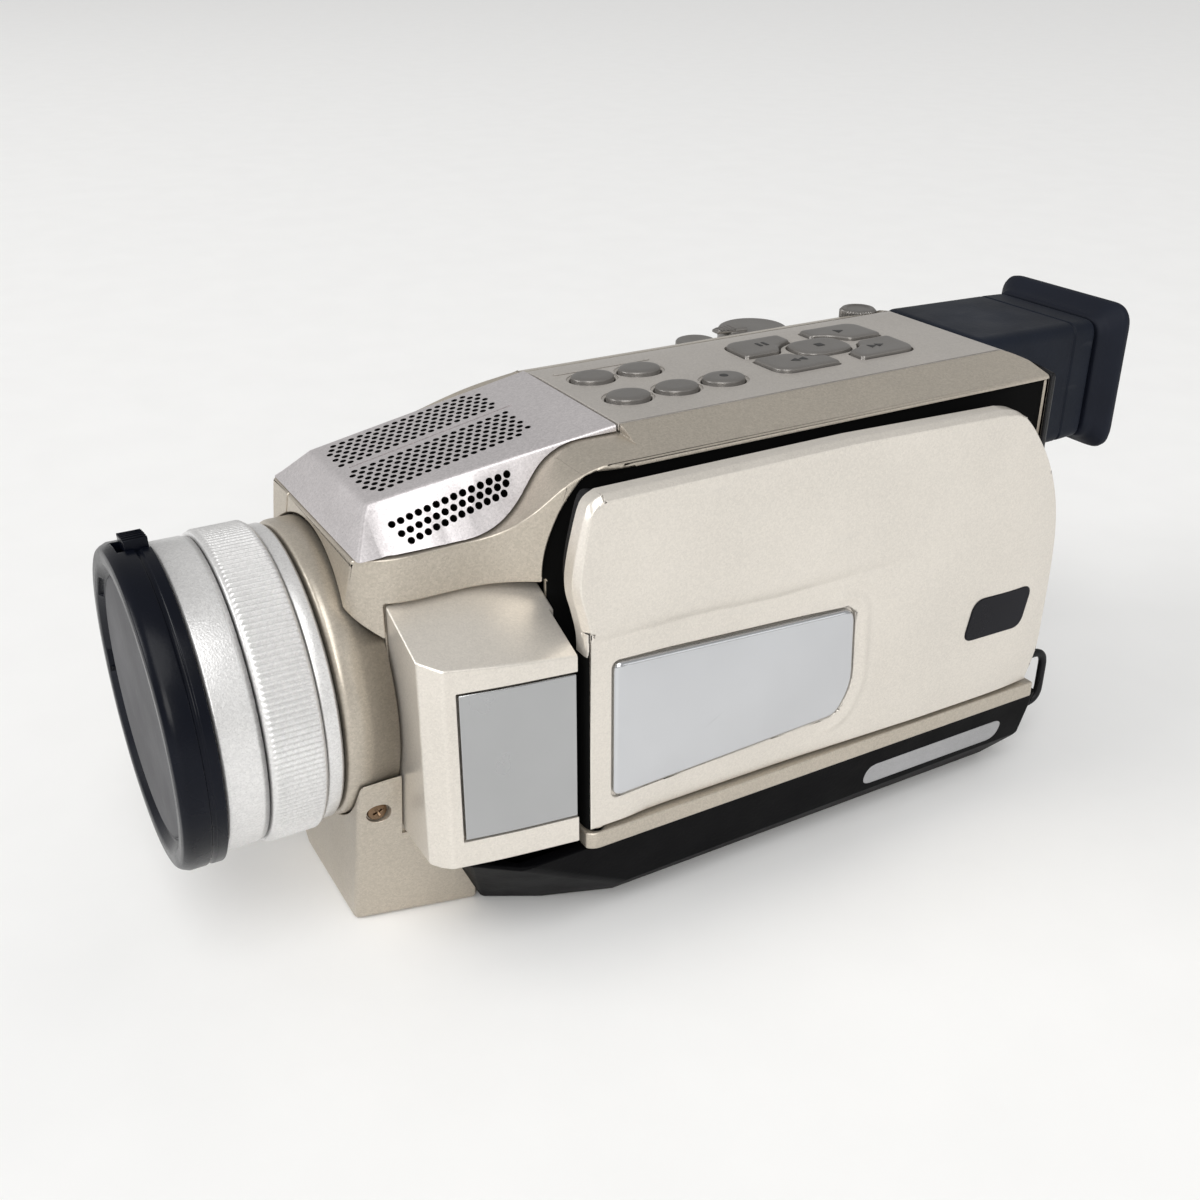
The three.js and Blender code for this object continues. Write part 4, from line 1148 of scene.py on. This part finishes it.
def hinge_block():
    upright = prism("z", outline(BLOCK_PLAN, 14), BLOCK_BOTTOM, BLOCK_TOP)
    roof = prism("y", [
        (10, -50), (50, -50), (50, BLOCK_EDGE_TOP - 5), (BLOCK_OUTER_X, BLOCK_EDGE_TOP),
        (BLOCK_INNER_X, BLOCK_TOP), (10, BLOCK_TOP),
    ], 0, 60)
    foot = hull([(x, y, z) for x in (0, 60) for y, z in ((0, -17.6), (0, -40), (16.4, -40), (13.8, -21.7))])
    block = rounded(cut(common(upright, roof), foot), 0.55, 4, 20)
    return cut(block, trim_band(0.35), box(28, 60, BLOCK_REAR_Y - 0.7, 60, -40, 16))


def panel_outline():
    """The screen cover's outline, anticlockwise from its front lower corner."""
    rear = [
        (129.6, PANEL_BOTTOM), (131.4, -14), (131.8, -8), (131.8, 5), (130.6, 14), (127.4, 22.6),
        (122.9, 29.6), (118.6, 34), (114.6, 35.2),
    ]
    front = [
        (39, PANEL_TOP), (36.8, 34.4), (35.3, 29.6), (34.3, 24.6), (34.3, 21), (35.2, 17.4), (36, 13.4),
        (36, 9),
    ]
    return [(36, PANEL_BOTTOM)] + smooth_loop(rear) + [(83, PANEL_TOP + 0.2)] + smooth_loop(front)


PLATE_CORNERS = [(40.2, -15.2, 1.5), (84, -13.4, 2), (87, -8, 6), (86.2, 7, 2.5), (40.2, 9.4, 1.5)]


def distance_to(loop, y, z):
    """How far each point lies from a closed loop."""
    best = np.full(y.shape, 1e9)
    for i, (u0, v0) in enumerate(loop):
        u1, v1 = loop[(i + 1) % len(loop)]
        du, dv = u1 - u0, v1 - v0
        t = np.clip(((y - u0) * du + (z - v0) * dv) / max(du * du + dv * dv, 1e-9), 0, 1)
        best = np.minimum(best, np.hypot(y - u0 - t * du, z - v0 - t * dv))
    return best


def eased(t):
    t = np.clip(t, 0, 1)
    return t * t * (3 - 2 * t)


def panel_relief(y, z):
    """How deep the cover's sculpted face lies below its highest level."""
    crease = np.interp(y, [30, 36.5, 55, 70, 82, 96, 140], [13.2, 13.2, 13.2, 12.3, 12.6, 13, 13])
    fade = 1 - eased((y - 70) / 36)
    t = (z - crease) / 3
    step = np.interp(y, [42, 50], [0.6, 0.9]) * fade * np.where(t < 0, 1, np.clip(1 - t, 0, 1) ** 2)
    crown = 0.7 * np.clip((z - 16) / 20, 0, 1) ** 1.5
    back = 1.1 * np.clip((y - 118) / 14, 0, 1) ** 2
    plate = outline(PLATE_CORNERS, 8)
    away = distance_to(plate, y, z)
    ridge = 0.32 * np.exp(-(((away - 2.0) / 0.85) ** 2)) * eased((y - 80) / 5) * (z < 12)
    lower = 0.35 * np.clip((-13 - z) / 7, 0, 1) ** 1.5 * eased((y - 42) / 6)
    return step + crown + back + lower - ridge


def lcd_cover():
    loop = panel_outline()
    lefts = left_of(loop)
    chamfer = []
    for (y, z), left in zip(loop, lefts):
        top = eased((z - 33) / 3)
        front = eased((40 - y) / 3) * eased((z - 8) / 6)
        width = 0.35 + 1.25 * max(top, 0) + 0.55 * front
        chamfer.append((y + left[0] * width, z + left[1] * width))
    levels = ((PANEL_BACK_X, loop), (PANEL_FACE_X - 1.7, loop), (PANEL_FACE_X + 0.4, chamfer))
    slab = lofted([[(x, y, z) for y, z in corners] for x, corners in levels])

    ys = np.linspace(30, 136, 266)
    zs = np.linspace(-24, 41, 164)
    y, z = np.meshgrid(ys, zs, indexing="ij")
    x = PANEL_FACE_X - panel_relief(y, z)
    rows, columns = y.shape
    top = np.stack([x, y, z], -1).reshape(-1, 3)
    floor = np.stack([np.full_like(x, 25), y, z], -1).reshape(-1, 3)
    size = rows * columns
    faces = []
    for i in range(rows - 1):
        for j in range(columns - 1):
            a = i * columns + j
            faces.append((a, a + columns, a + columns + 1, a + 1))
            faces.append((size + a, size + a + 1, size + a + columns + 1, size + a + columns))
    rim = [i * columns for i in range(rows)]
    rim += [(rows - 1) * columns + j for j in range(1, columns)]
    rim += [i * columns + columns - 1 for i in range(rows - 2, -1, -1)]
    rim += [j for j in range(columns - 2, 0, -1)]
    for k, a in enumerate(rim):
        b = rim[(k + 1) % len(rim)]
        faces.append((a, b, size + b, size + a))
    face = shape(np.concatenate([top, floor]), faces)

    tab = prism("x", outline(rect(130.5, 133.1, -6.4, -0.6, 1)), PANEL_BACK_X + 0.5, PANEL_FACE_X - 2.2)
    seat = prism("x", outline(PLATE_CORNERS, 12), PANEL_FACE_X - 1.25, 60)
    inner = [(u + left[0] * 3.2, v + left[1] * 3.2) for (u, v), left in zip(loop, lefts)]
    room = cut(prism("x", inner, 20, PANEL_BACK_X + 1.4), box(30, 40, 30, 43, -60, 60))
    rounding = cut(box(HINGE[0], 60, 20, HINGE[1], -60, 15), rod("z", HINGE[1] - 36, -61, 16, HINGE, 64))
    panel = cut(
        join(common(slab, face), tab),
        seat,
        rounding,
        rod("z", 1.25, -30, -8, HINGE, 24),
        room,
    )
    # The front edge below the crease lies in the gap beside the hinge block; it takes the dark material as a
    # painted shadow.
    for side in panel.data.polygons:
        x, y, z = side.center
        side.material_index = int(y < 36.5 and x < PANEL_FACE_X - 0.7 and z < 11)
    return panel


def badge():
    """The plain dark badge near the cover's rear edge."""
    loop = outline([(110.9, -6.5, 2.2), (125.0, -6.9, 2.2), (126.8, 1.0, 2.4), (112.6, 1.4, 2.4)], 12)
    middle = np.mean(loop, axis=0)
    rows = []
    for lift, share in ((-0.5, 1), (0.1, 1), (0.2, 0.96)):
        row = []
        for y, z in loop:
            y2, z2 = middle + (np.array((y, z)) - middle) * share
            depth = float(panel_relief(np.array([y2]), np.array([z2]))[0])
            row.append((PANEL_FACE_X - depth + lift, y2, z2))
        rows.append(row)
    return lofted(rows)


def lcd_trim():
    """The plate on the screen cover: slightly domed both ways, with a rolled edge."""
    loop = outline(inset(PLATE_CORNERS, 0.38), 14)
    middle = np.array((63.5, -3.0))
    rings = 22
    vertices = []
    for i in range(rings + 1):
        share = 1 - (i / rings) ** 1.15 if i else 1
        for y, z in loop:
            y2, z2 = middle + (np.array((y, z)) - middle) * share
            vertices.append((0, y2, z2))
    points = np.array(vertices)
    away = distance_to(loop, points[:, 1], points[:, 2])
    dome = 0.42 * (1 - ((points[:, 1] - 63.5) / 25) ** 2) + 0.2 * (1 - ((points[:, 2] + 3) / 13) ** 2)
    edge = -0.4 * np.clip(1 - away / 0.7, 0, 1) ** 2
    points[:, 0] = PANEL_FACE_X - 0.32 + dome + edge
    count = len(loop)
    skirt = np.array([(PANEL_FACE_X - 1.0, y, z) for y, z in loop])
    points = np.concatenate([points, skirt])
    faces = quads(rings, count)
    faces.append(tuple(range((rings - 1) * count, rings * count)))
    base = (rings + 1) * count
    for k in range(count):
        n = (k + 1) % count
        faces.append((k, n, base + n, base + k))
    faces.append(tuple(range(base, base + count)))
    return shape(points, faces)


# ---------------------------------------------------------------- viewfinder and battery
def rounded_tube(rows, radius=2.4, steps=5):
    """A closed body through rounded rectangles, each (y, x0, x1, z0, z1)."""
    return lofted([
        [(x, y, z) for x, z in outline(rect(x0, x1, z0, z1, radius), steps)] for y, x0, x1, z0, z1 in rows
    ])


def finder_rows(places):
    """Viewfinder sections from (y, growth) pairs."""
    return [(y, FINDER_X[0] - g, FINDER_X[1] + g, FINDER_Z[0] - g, FINDER_Z[1] + g) for y, g in places]


def finder_core(d, low, high):
    """A bar of the viewfinder's section moved in by d."""
    corners = rect(FINDER_X[0] + d, FINDER_X[1] - d, FINDER_Z[0] + d, FINDER_Z[1] - d, 1)
    return prism("y", outline(corners), low, high)


def finder_housing():
    y0, y1 = FINDER_Y
    outside = rounded_tube(finder_rows([
        (y0, -0.5), (y0 + 0.5, -0.15), (y0 + 1.2, 0), (y1 - 6.2, -0.35), (y1 - 6.0, -0.6),
        (y1 - 5.7, -0.6), (y1 - 5.5, -0.35), (y1 - 0.6, -0.5), (y1, -0.9),
    ]), 2.6)
    return cut(outside, finder_core(2, y0 - 1, 158), rod("y", 8, 150, 170, EYE_AXIS))


def finder_carriage():
    outside, inside = finder_core(2.4, FINDER_Y[0] + 0.2, 150), finder_core(4, 130, 148.4)
    return cut(outside, inside, rod("y", 6.4, 140, 160, EYE_AXIS))


def eyecup():
    y0 = FINDER_Y[1] + GAP
    outside = rounded_tube(finder_rows([
        (y0, -0.6), (y0 + 0.4, 0.0), (y0 + 1.4, 0.25), (y0 + 2.4, 0.7), (y0 + 3.2, 1.5), (y0 + 3.8, 2.1),
        (y0 + 4.6, 2.38), (y0 + 5.4, 2.3), (y0 + 6.1, 1.9), (y0 + 6.55, 1.2), (y0 + 6.7, 0.4),
    ]), 4.2, 8)
    hollow = rounded_tube([
        (167, -13.6, 7.6, 15.9, 34.0), (168.5, -14.2, 8.2, 15.2, 34.6), (171, -15.2, 9.2, 14.4, 35.6),
        (173, -16.4, 10.4, 13.2, 36.8),
    ], 5, 8)
    return cut(outside, hollow, rod("y", 8.4, 160, 170, EYE_AXIS))


def eyepiece():
    bulge = [(7.4 * math.cos(t), 162.4 + 1.6 * math.sin(t)) for t in np.linspace(0, math.pi / 2, 9)[:-1]]
    return turned("y", [(0, 159), (7.4, 159), *bulge, (0, 164)], EYE_AXIS, 64)


def battery():
    body = rounded_tube([
        (134.9, -24, 12, -34, 8), (147.2, -24, 12, -34, 8), (148.6, -23.8, 11.8, -33.8, 7.8),
        (149.8, -23.1, 11.1, -33.1, 7.1), (150.6, -22.2, 10.2, -32.2, 6.2), (151, -21, 9, -31, 5),
    ], 3, 6)
    core = rounded_tube([(y, -23.7, 11.7, -33.7, 7.7) for y in (137, 140)], 3, 6)
    line = cut(box(-30, 20, 138.2, 138.7, -40, 20), core)
    grips = []
    for side in ((-25, -23.6), (11.6, 13)):
        grips += [box(*side, 141 + 1.5 * k, 141.7 + 1.5 * k, -24, -4) for k in range(4)]
    panel = cut(
        prism("y", outline(rect(-17, 5, -27, 1, 2)), 150.7, 153),
        prism("y", outline(rect(-16.6, 4.6, -26.6, 0.6, 1.7)), 150, 154),
    )
    return cut(body, line, *grips, panel)


def battery_latch():
    thumb = prism("y", outline(rect(-32.1, -27.9, -11.7, -7.6, 0.6)), 132, 135.4)
    neck = box(-31, -29, 130.5, 133, -11, -8.4)
    plate = box(-32.9, -27.1, 128.6, 131, -12.6, -6.8)
    grips = [box(-33, -27, 135.0, 136, z, z + 0.4) for z in (-10.9, -10.0, -9.1)]
    return cut(join(thumb, neck, plate), *grips)


def record_button():
    dish = hull([(20 + r * math.cos(a), y, 10 + r * math.sin(a)) for r, y in ((3.6, 136.25), (4.2, 138))
                 for a in np.linspace(0, 2 * math.pi, 48, endpoint=False)])
    return cut(join(rod("y", 5.6, 130.5, 136.6, RECORD, 64), rod("y", 6.8, 129.2, 130.9, RECORD, 64)), dish)


def knurled_wheel(x, y, r, low, high, teeth):
    samples = teeth * 4
    depth = np.array([0, 0, 0.3, 0.3])
    levels = [
        (r - 0.5, low, 0), (r, low + 0.4, 1), (r, high - 0.6, 1), (r - 0.5, high - 0.1, 0),
        (r - 1.1, high, 0), (r - 1.5, high - 0.25, 0),
    ]
    rows = []
    for radius, z, share in levels:
        row = []
        for k in range(samples):
            a = 2 * math.pi * k / samples
            here = radius - depth[k % 4] * share
            row.append((x + here * math.cos(a), y + here * math.sin(a), z))
        rows.append(row)
    return lofted(rows)


def mode_dial():
    x, y, r = DIAL
    return join(knurled_wheel(x, y, r - 0.6, 33, 38.9, 36), rod("z", 1.6, 30, 33.2, (x, y), 24))


def zoom_lever():
    x, y, r = ZOOM
    profile = [(0, 28.6), (r, 28.6), (r, 34.7), (r - 0.25, 35.1), (r - 0.7, 35.3), (0, 35.3)]
    body = turned("z", profile, (x, y), 64)
    finger = hull([
        (x + u * s, y + v * t, z)
        for u, v in ((-1, -9), (1, -9), (2.4, -3), (-2.4, -3))
        for s, t, z in ((1, 1, 35.2), (1, 1, 35.7), (0.75, 0.93, 36))
    ])
    ribs = [box(x - 3, x + 3, y - 8.3 + 0.9 * k, y - 7.9 + 0.9 * k, 35.8, 38) for k in range(4)]
    return cut(join(body, finger, rod("z", 2, 27.9, 28.7, (x, y), 24)), *ribs)


def photo_button():
    x, y, r = PHOTO
    cap = turned("z", [
        (0, 29.4), (r, 29.4), (r, 35.0), (r - 0.2, 35.3), (r - 0.6, 35.45), (1.2, 35.2), (0, 35.15),
    ], (x, y), 64)
    return join(cap, rod("z", r + 0.7, 28.4, 29.5, (x, y)))


def eject_slider():
    x, y = EJECT
    thumb = box(x - 4, x + 4, y - 3, y + 3, GROUND + 0.5, -39)
    ribs = [box(x - 5, x + 5, y - 2.5 + 1.1 * k, y - 2.0 + 1.1 * k, GROUND, GROUND + 0.8) for k in range(5)]
    return cut(join(thumb, box(x - 5.5, x + 5.5, y - 8, y + 8, -39.7, -38.5)), *ribs)


def jack_cover():
    return common(cut(body_block(0), body_block(WALL - 0.6)), jack_region(0))


# ---------------------------------------------------------------- hand strap
def strap_line(t):
    """The strap's middle (x, y) and outward direction, for t from 0 at the front lug to 1 at the rear."""
    stations = [
        (-39.4, 50.5), (-43.5, 53.6), (-48.3, 58.8), (-51.2, 66), (-52.2, 78), (-51.2, 90), (-48.3, 97.2),
        (-43.5, 102.5), (-39.4, 105.7),
    ]
    run = smooth_loop(stations, 8)
    at = t * (len(run) - 1)
    i = min(int(at), len(run) - 2)
    a, b = np.array(run[i]), np.array(run[i + 1])
    point = a + (b - a) * (at - i)
    along = (b - a) / np.linalg.norm(b - a)
    return point, np.array((-along[1], along[0])) * (-1 if along[1] < 0 else 1)


def strap_pad():
    """The padded grip: a crowned band, thick in the middle, with its edges pulled in by stitching."""
    steps, across = 72, 28
    rows = []
    for i in range(steps + 1):
        row = []
        t = 0.1 + 0.8 * i / steps
        point, out = strap_line(t)
        end = min(1, math.sin(math.pi * min(max((t - 0.1) / 0.8, 0.0), 1.0)) * 5 + 0.02)
        half = 13.6 + 1.2 * end - 0.25 * (1 - math.cos(t * 40 * math.pi)) * 0.4
        for k in range(across):
            a = 2 * math.pi * k / across
            c, s = math.cos(a), math.sin(a)
            z = 1 + half * math.copysign(abs(c) ** 0.55, c)
            seam = 1 - 0.45 * math.exp(-(((abs(z - 1) - half + 1.6) / 0.7) ** 2))
            thick = (0.5 + 0.95 * end) * math.copysign(abs(s) ** 0.75, s) * seam
            x, y = point + out * (thick if s > 0 else thick * 0.8)
            row.append((x, y, z))
        rows.append(row)
    return lofted(rows)


def ribbon(path, half, thick):
    """Flat webbing along (point, outward direction, z of its middle) stations."""
    section = [
        (-half, -thick), (half, -thick), (half + 0.2, 0), (half, thick), (-half, thick), (-half - 0.2, 0),
    ]
    return lofted([[(*(point + out * d), middle + z) for z, d in section] for point, out, middle in path])


def strap_webbing():
    """The strap that runs over the pad and through the lugs."""
    path = []
    for i in range(61):
        t = i / 60
        point, out = strap_line(t)
        over = 1.5 * eased(np.array((t - 0.08) / 0.08)) * eased(np.array((0.92 - t) / 0.08))
        path.append((point + out * float(over), out, 1))
    return ribbon(path, 10.4, 0.5)


# ---------------------------------------------------------------- the pieces
piece(left_shell(), "body_left", "body", CHAMPAGNE, "champagne_shell", "left_shell", inside=BLACK_AND_PAINTED_SHADE, bevel=0.3)
piece(right_shell(), "body_right", "body", CHAMPAGNE, "champagne_shell", "right_shell", bevel=0.3)
piece(cassette_door(), "tape_door", "door", CHAMPAGNE, "champagne_shell", "cassette_door", bevel=0.25)
piece(rear_cover(), "back_cover", "body", BLACK, "black_plastic", "rear_cover", bevel=0.3)
piece(jack_cover(), "socket_flap", "jack_flap", CHAMPAGNE, "champagne_shell", "jack_cover", bevel=0.15)
piece(top_deck(), "deck_plate", "body", DECK, "deck_plate", "top_deck", bevel=0.12)
piece(mic_cover(), "grille_cover", "body", LILAC, "lilac_silver", "mic_cover", bevel=0, inside=BLACK_AND_PAINTED_SHADE,
      flat=True, sharp=25)
piece(front_cover(), "lower_front", "body", CHAMPAGNE, "champagne_shell", "front_cover", bevel=0.15)
piece(base_cover(), "base", "body", BLACK_PAINTED_DARKER, "black_plastic", "base_cover", bevel=0.12)
piece(base_pill(), "base_badge", "body", PILL, "lens_silver", bevel=0)
piece(hinge_block(), "hinge_housing", "body", CHAMPAGNE_PAINTED_LIGHTER, "champagne_shell", "hinge_block", bevel=0.12)
piece(trim_band(0), "hinge_plate", "body", PLATE_PAINTED_DARKER, "satin_plate", "hinge_trim", bevel=0.2, steps=3)
piece(front_screw(), "cross_screw", "body", BRASS, "brass_screw", "front_screw", bevel=0.05)
piece(strap_loop(), "wire_loop", "body", BLACK, "black_plastic", "strap_loop", bevel=0)
piece(tripod_socket(), "tripod_thread", "body", STEEL, "steel", "tripod_socket", bevel=0.1)

piece(lens_barrel(), "barrel", "body", SILVER, "lens_silver", "lens_barrel", bevel=0)
piece(focus_ring(), "knurled_ring", "focus", SILVER, "lens_silver", "focus_ring", bevel=0, flat=True)
piece(rear_band(), "barrel_band", "body", SILVER, "lens_silver", "rear_lens_band", bevel=0)
piece(lens_shroud(), "barrel_shroud", "body", CHAMPAGNE, "champagne_shell", "lens_shroud", bevel=0)
piece(front_glass(), "front_element", "body", GLASS, "lens_glass", "front_glass", bevel=0)
piece(lens_cap(), "cap_body", "cap", CAP, "cap_plastic", "lens_cap", bevel=0.12)
piece(cap_face(), "cap_disc", "cap", CAP_FACE, "cap_plastic", bevel=0)
piece(cap_tab(1), "cap_pinch_top", "cap_tab_upper", CAP, "cap_plastic", "cap_tab_top", bevel=0.1)
piece(cap_tab(-1), "cap_pinch_bottom", "cap_tab_lower", CAP, "cap_plastic", "cap_tab_bottom", bevel=0.1)

piece(lcd_cover(), "screen_cover", "screen", CHAMPAGNE_PAINTED_LIGHTER, "champagne_shell", "lcd_cover", bevel=0.22, angle=20,
      inside=BLACK_AND_PAINTED_SHADE)
piece(lcd_trim(), "screen_plate", "screen", PLATE, "satin_plate", "lcd_trim", bevel=0)
piece(badge(), "screen_badge", "screen", BADGE, "black_plastic", bevel=0)

piece(finder_housing(), "finder_tube_housing", "finder_tube", FINDER, "finder_plastic", "viewfinder_housing",
      bevel=0.15)
piece(finder_carriage(), "finder_inner_tube", "finder", FINDER, "finder_plastic", "viewfinder_carriage",
      bevel=0.15)
piece(eyecup(), "rubber_eyecup", "finder_tube", RUBBER, "rubber", "eyecup", bevel=0)
piece(eyepiece(), "eye_lens", "finder_tube", GLASS, "lens_glass", "eyepiece_lens", bevel=0)
piece(battery(), "battery_block", "battery_pack", BLACK, "black_plastic", "battery", bevel=0.12)
piece(battery_latch(), "latch_slide", "latch", BLACK, "black_plastic", "battery_latch", bevel=0.1)
piece(record_button(), "record_key", "record", KEY, "key_grey", "record_button", bevel=0.2)
piece(mode_dial(), "mode_knob", "mode_wheel", KEY, "key_grey", "mode_dial", bevel=0, flat=True)
piece(zoom_lever(), "zoom_rocker", "zoom", KEY, "key_grey", "zoom_lever", bevel=0.12)
piece(photo_button(), "photo_key", "photo", KEY, "key_grey", "photo_button", bevel=0.08)
piece(eject_slider(), "eject_thumb", "eject", KEY, "key_grey", "eject_slider", bevel=0.12)

for node, (x, y) in OVALS.items():
    cap = button(oval(x, y, 0), oval(x, y, 0.6), 0.12)
    piece(cap, node.replace("_button", "_oval"), f"{node}_body", KEY, "key_grey", node, bevel=0, flat=True)
profile = [(r, DECK_TOP + h) for r, h in ((0, 0.6), (0.75, 0.6), (0.75, 0.74), (0.6, 0.78), (0, 0.78))]
dot = turned("z", profile, OVALS["fade_button"], 32)
piece(dot, "fade_dot", "fade_button_body", MARK, "black_plastic", bevel=0)
for node, side in KEYS.items():
    cap = button(key_shape(*side, 0), key_shape(*side, 0.5), 0.06)
    piece(cap, node.replace("_key", "_pad"), f"{node}_body", KEY, "key_grey", node, bevel=0, flat=True)
    x, y = KEY_CENTRE[0] + 5.2 * side[0], KEY_CENTRE[1] + 8.6 * side[1]
    marks = gathered(icon(node, x, y, DECK_TOP + 0.66))
    piece(marks, node.replace("_key", "_mark"), f"{node}_body", MARK, "black_plastic", bevel=0)

pad = piece(strap_pad(), "strap_pad", "door", PADDING, "strap_fabric", "hand_strap", bevel=0, flat=True)
piece(strap_webbing(), "strap_webbing", "door", WEBBING, "strap_fabric", bevel=0, flat=True)

bpy.data.objects.remove(BODY_SHELL)

# The CAD's own solids that need nothing but a finish and softened edges. Their meshes are in metres.
KEPT_BEVEL = 0.00015
KEPT = {
    "microphone": BLACK_AND_PAINTED_SHADE, "inner_lens_tube": BLACK_AND_PAINTED_SHADE, "image_sensor": BLACK_AND_PAINTED_SHADE, "lcd_hinge_pin": BLACK_AND_PAINTED_SHADE,
    "supply_spindle": BLACK, "takeup_spindle": BLACK, "cassette": BLACK, "lcd_bezel": BLACK,
    "tape_chassis": STEEL, "head_drum": STEEL, "cassette_holder": STEEL,
    "lcd_screen": SCREEN, "viewfinder_display": SCREEN, "main_board": BOARD,
}
for node, look in KEPT.items():
    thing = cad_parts[node]
    thing.data.materials.clear()
    thing.data.materials.append(look)
    edge_bevel(thing, KEPT_BEVEL, 2, 40)

# ---------------------------------------------------------------- floor, light and camera
FLOOR = material("floor", (0.90, 0.90, 0.895), 0.55, 0.0, (60, 0.02), 0.008)
bpy.ops.mesh.primitive_plane_add(size=14, location=(0, 0, -0.00005))
floor = bpy.context.object
floor.name = "floor"
floor.data.materials.append(FLOOR)

scene = bpy.context.scene
world = bpy.data.worlds.new("studio")
scene.world = world
world.use_nodes = True
world.node_tree.nodes["Background"].inputs["Color"].default_value = (1, 0.995, 0.985, 1)
world.node_tree.nodes["Background"].inputs["Strength"].default_value = 0.46
scene.view_settings.view_transform = "Standard"


def lamp(name, at, towards, size, power, colour=(1, 1, 1)):
    data = bpy.data.lights.new(name, "AREA")
    data.shape = "RECTANGLE"
    data.size, data.size_y = size
    data.energy = power
    data.color = colour
    light = bpy.data.objects.new(name, data)
    light.location = at
    light.rotation_euler = (Vector(towards) - Vector(at)).to_track_quat("-Z", "Y").to_euler()
    scene.collection.objects.link(light)


lamp("key", (2.9, -1.5, 1.5), (0.02, 0, 0.03), (1.6, 1.2), 36, (1, 0.985, 0.96))
lamp("lens_side", (-0.6, -2.6, 1.2), (0, 0, 0.03), (1.4, 1.0), 32)
lamp("screen_side", (1.5, 1.0, 0.65), (0.04, 0, 0.05), (1.0, 0.7), 1.6)
sun = bpy.data.lights.new("ceiling", "SUN")
sun.energy = 1.25
sun.angle = math.radians(40)
ceiling = bpy.data.objects.new("ceiling", sun)
ceiling.rotation_euler = Vector((-0.6, 0.3, -1)).to_track_quat("-Z", "Y").to_euler()
scene.collection.objects.link(ceiling)

data = bpy.data.cameras.new("camera")
data.sensor_width = 36
data.lens = 39.9
data.clip_start = 0.01
camera = bpy.data.objects.new("camera", data)
camera.location = (0.19135, -0.1207, 0.1485)
camera.rotation_euler = (math.radians(90 - 27.1), 0, math.radians(60.3))
scene.collection.objects.link(camera)
scene.camera = camera
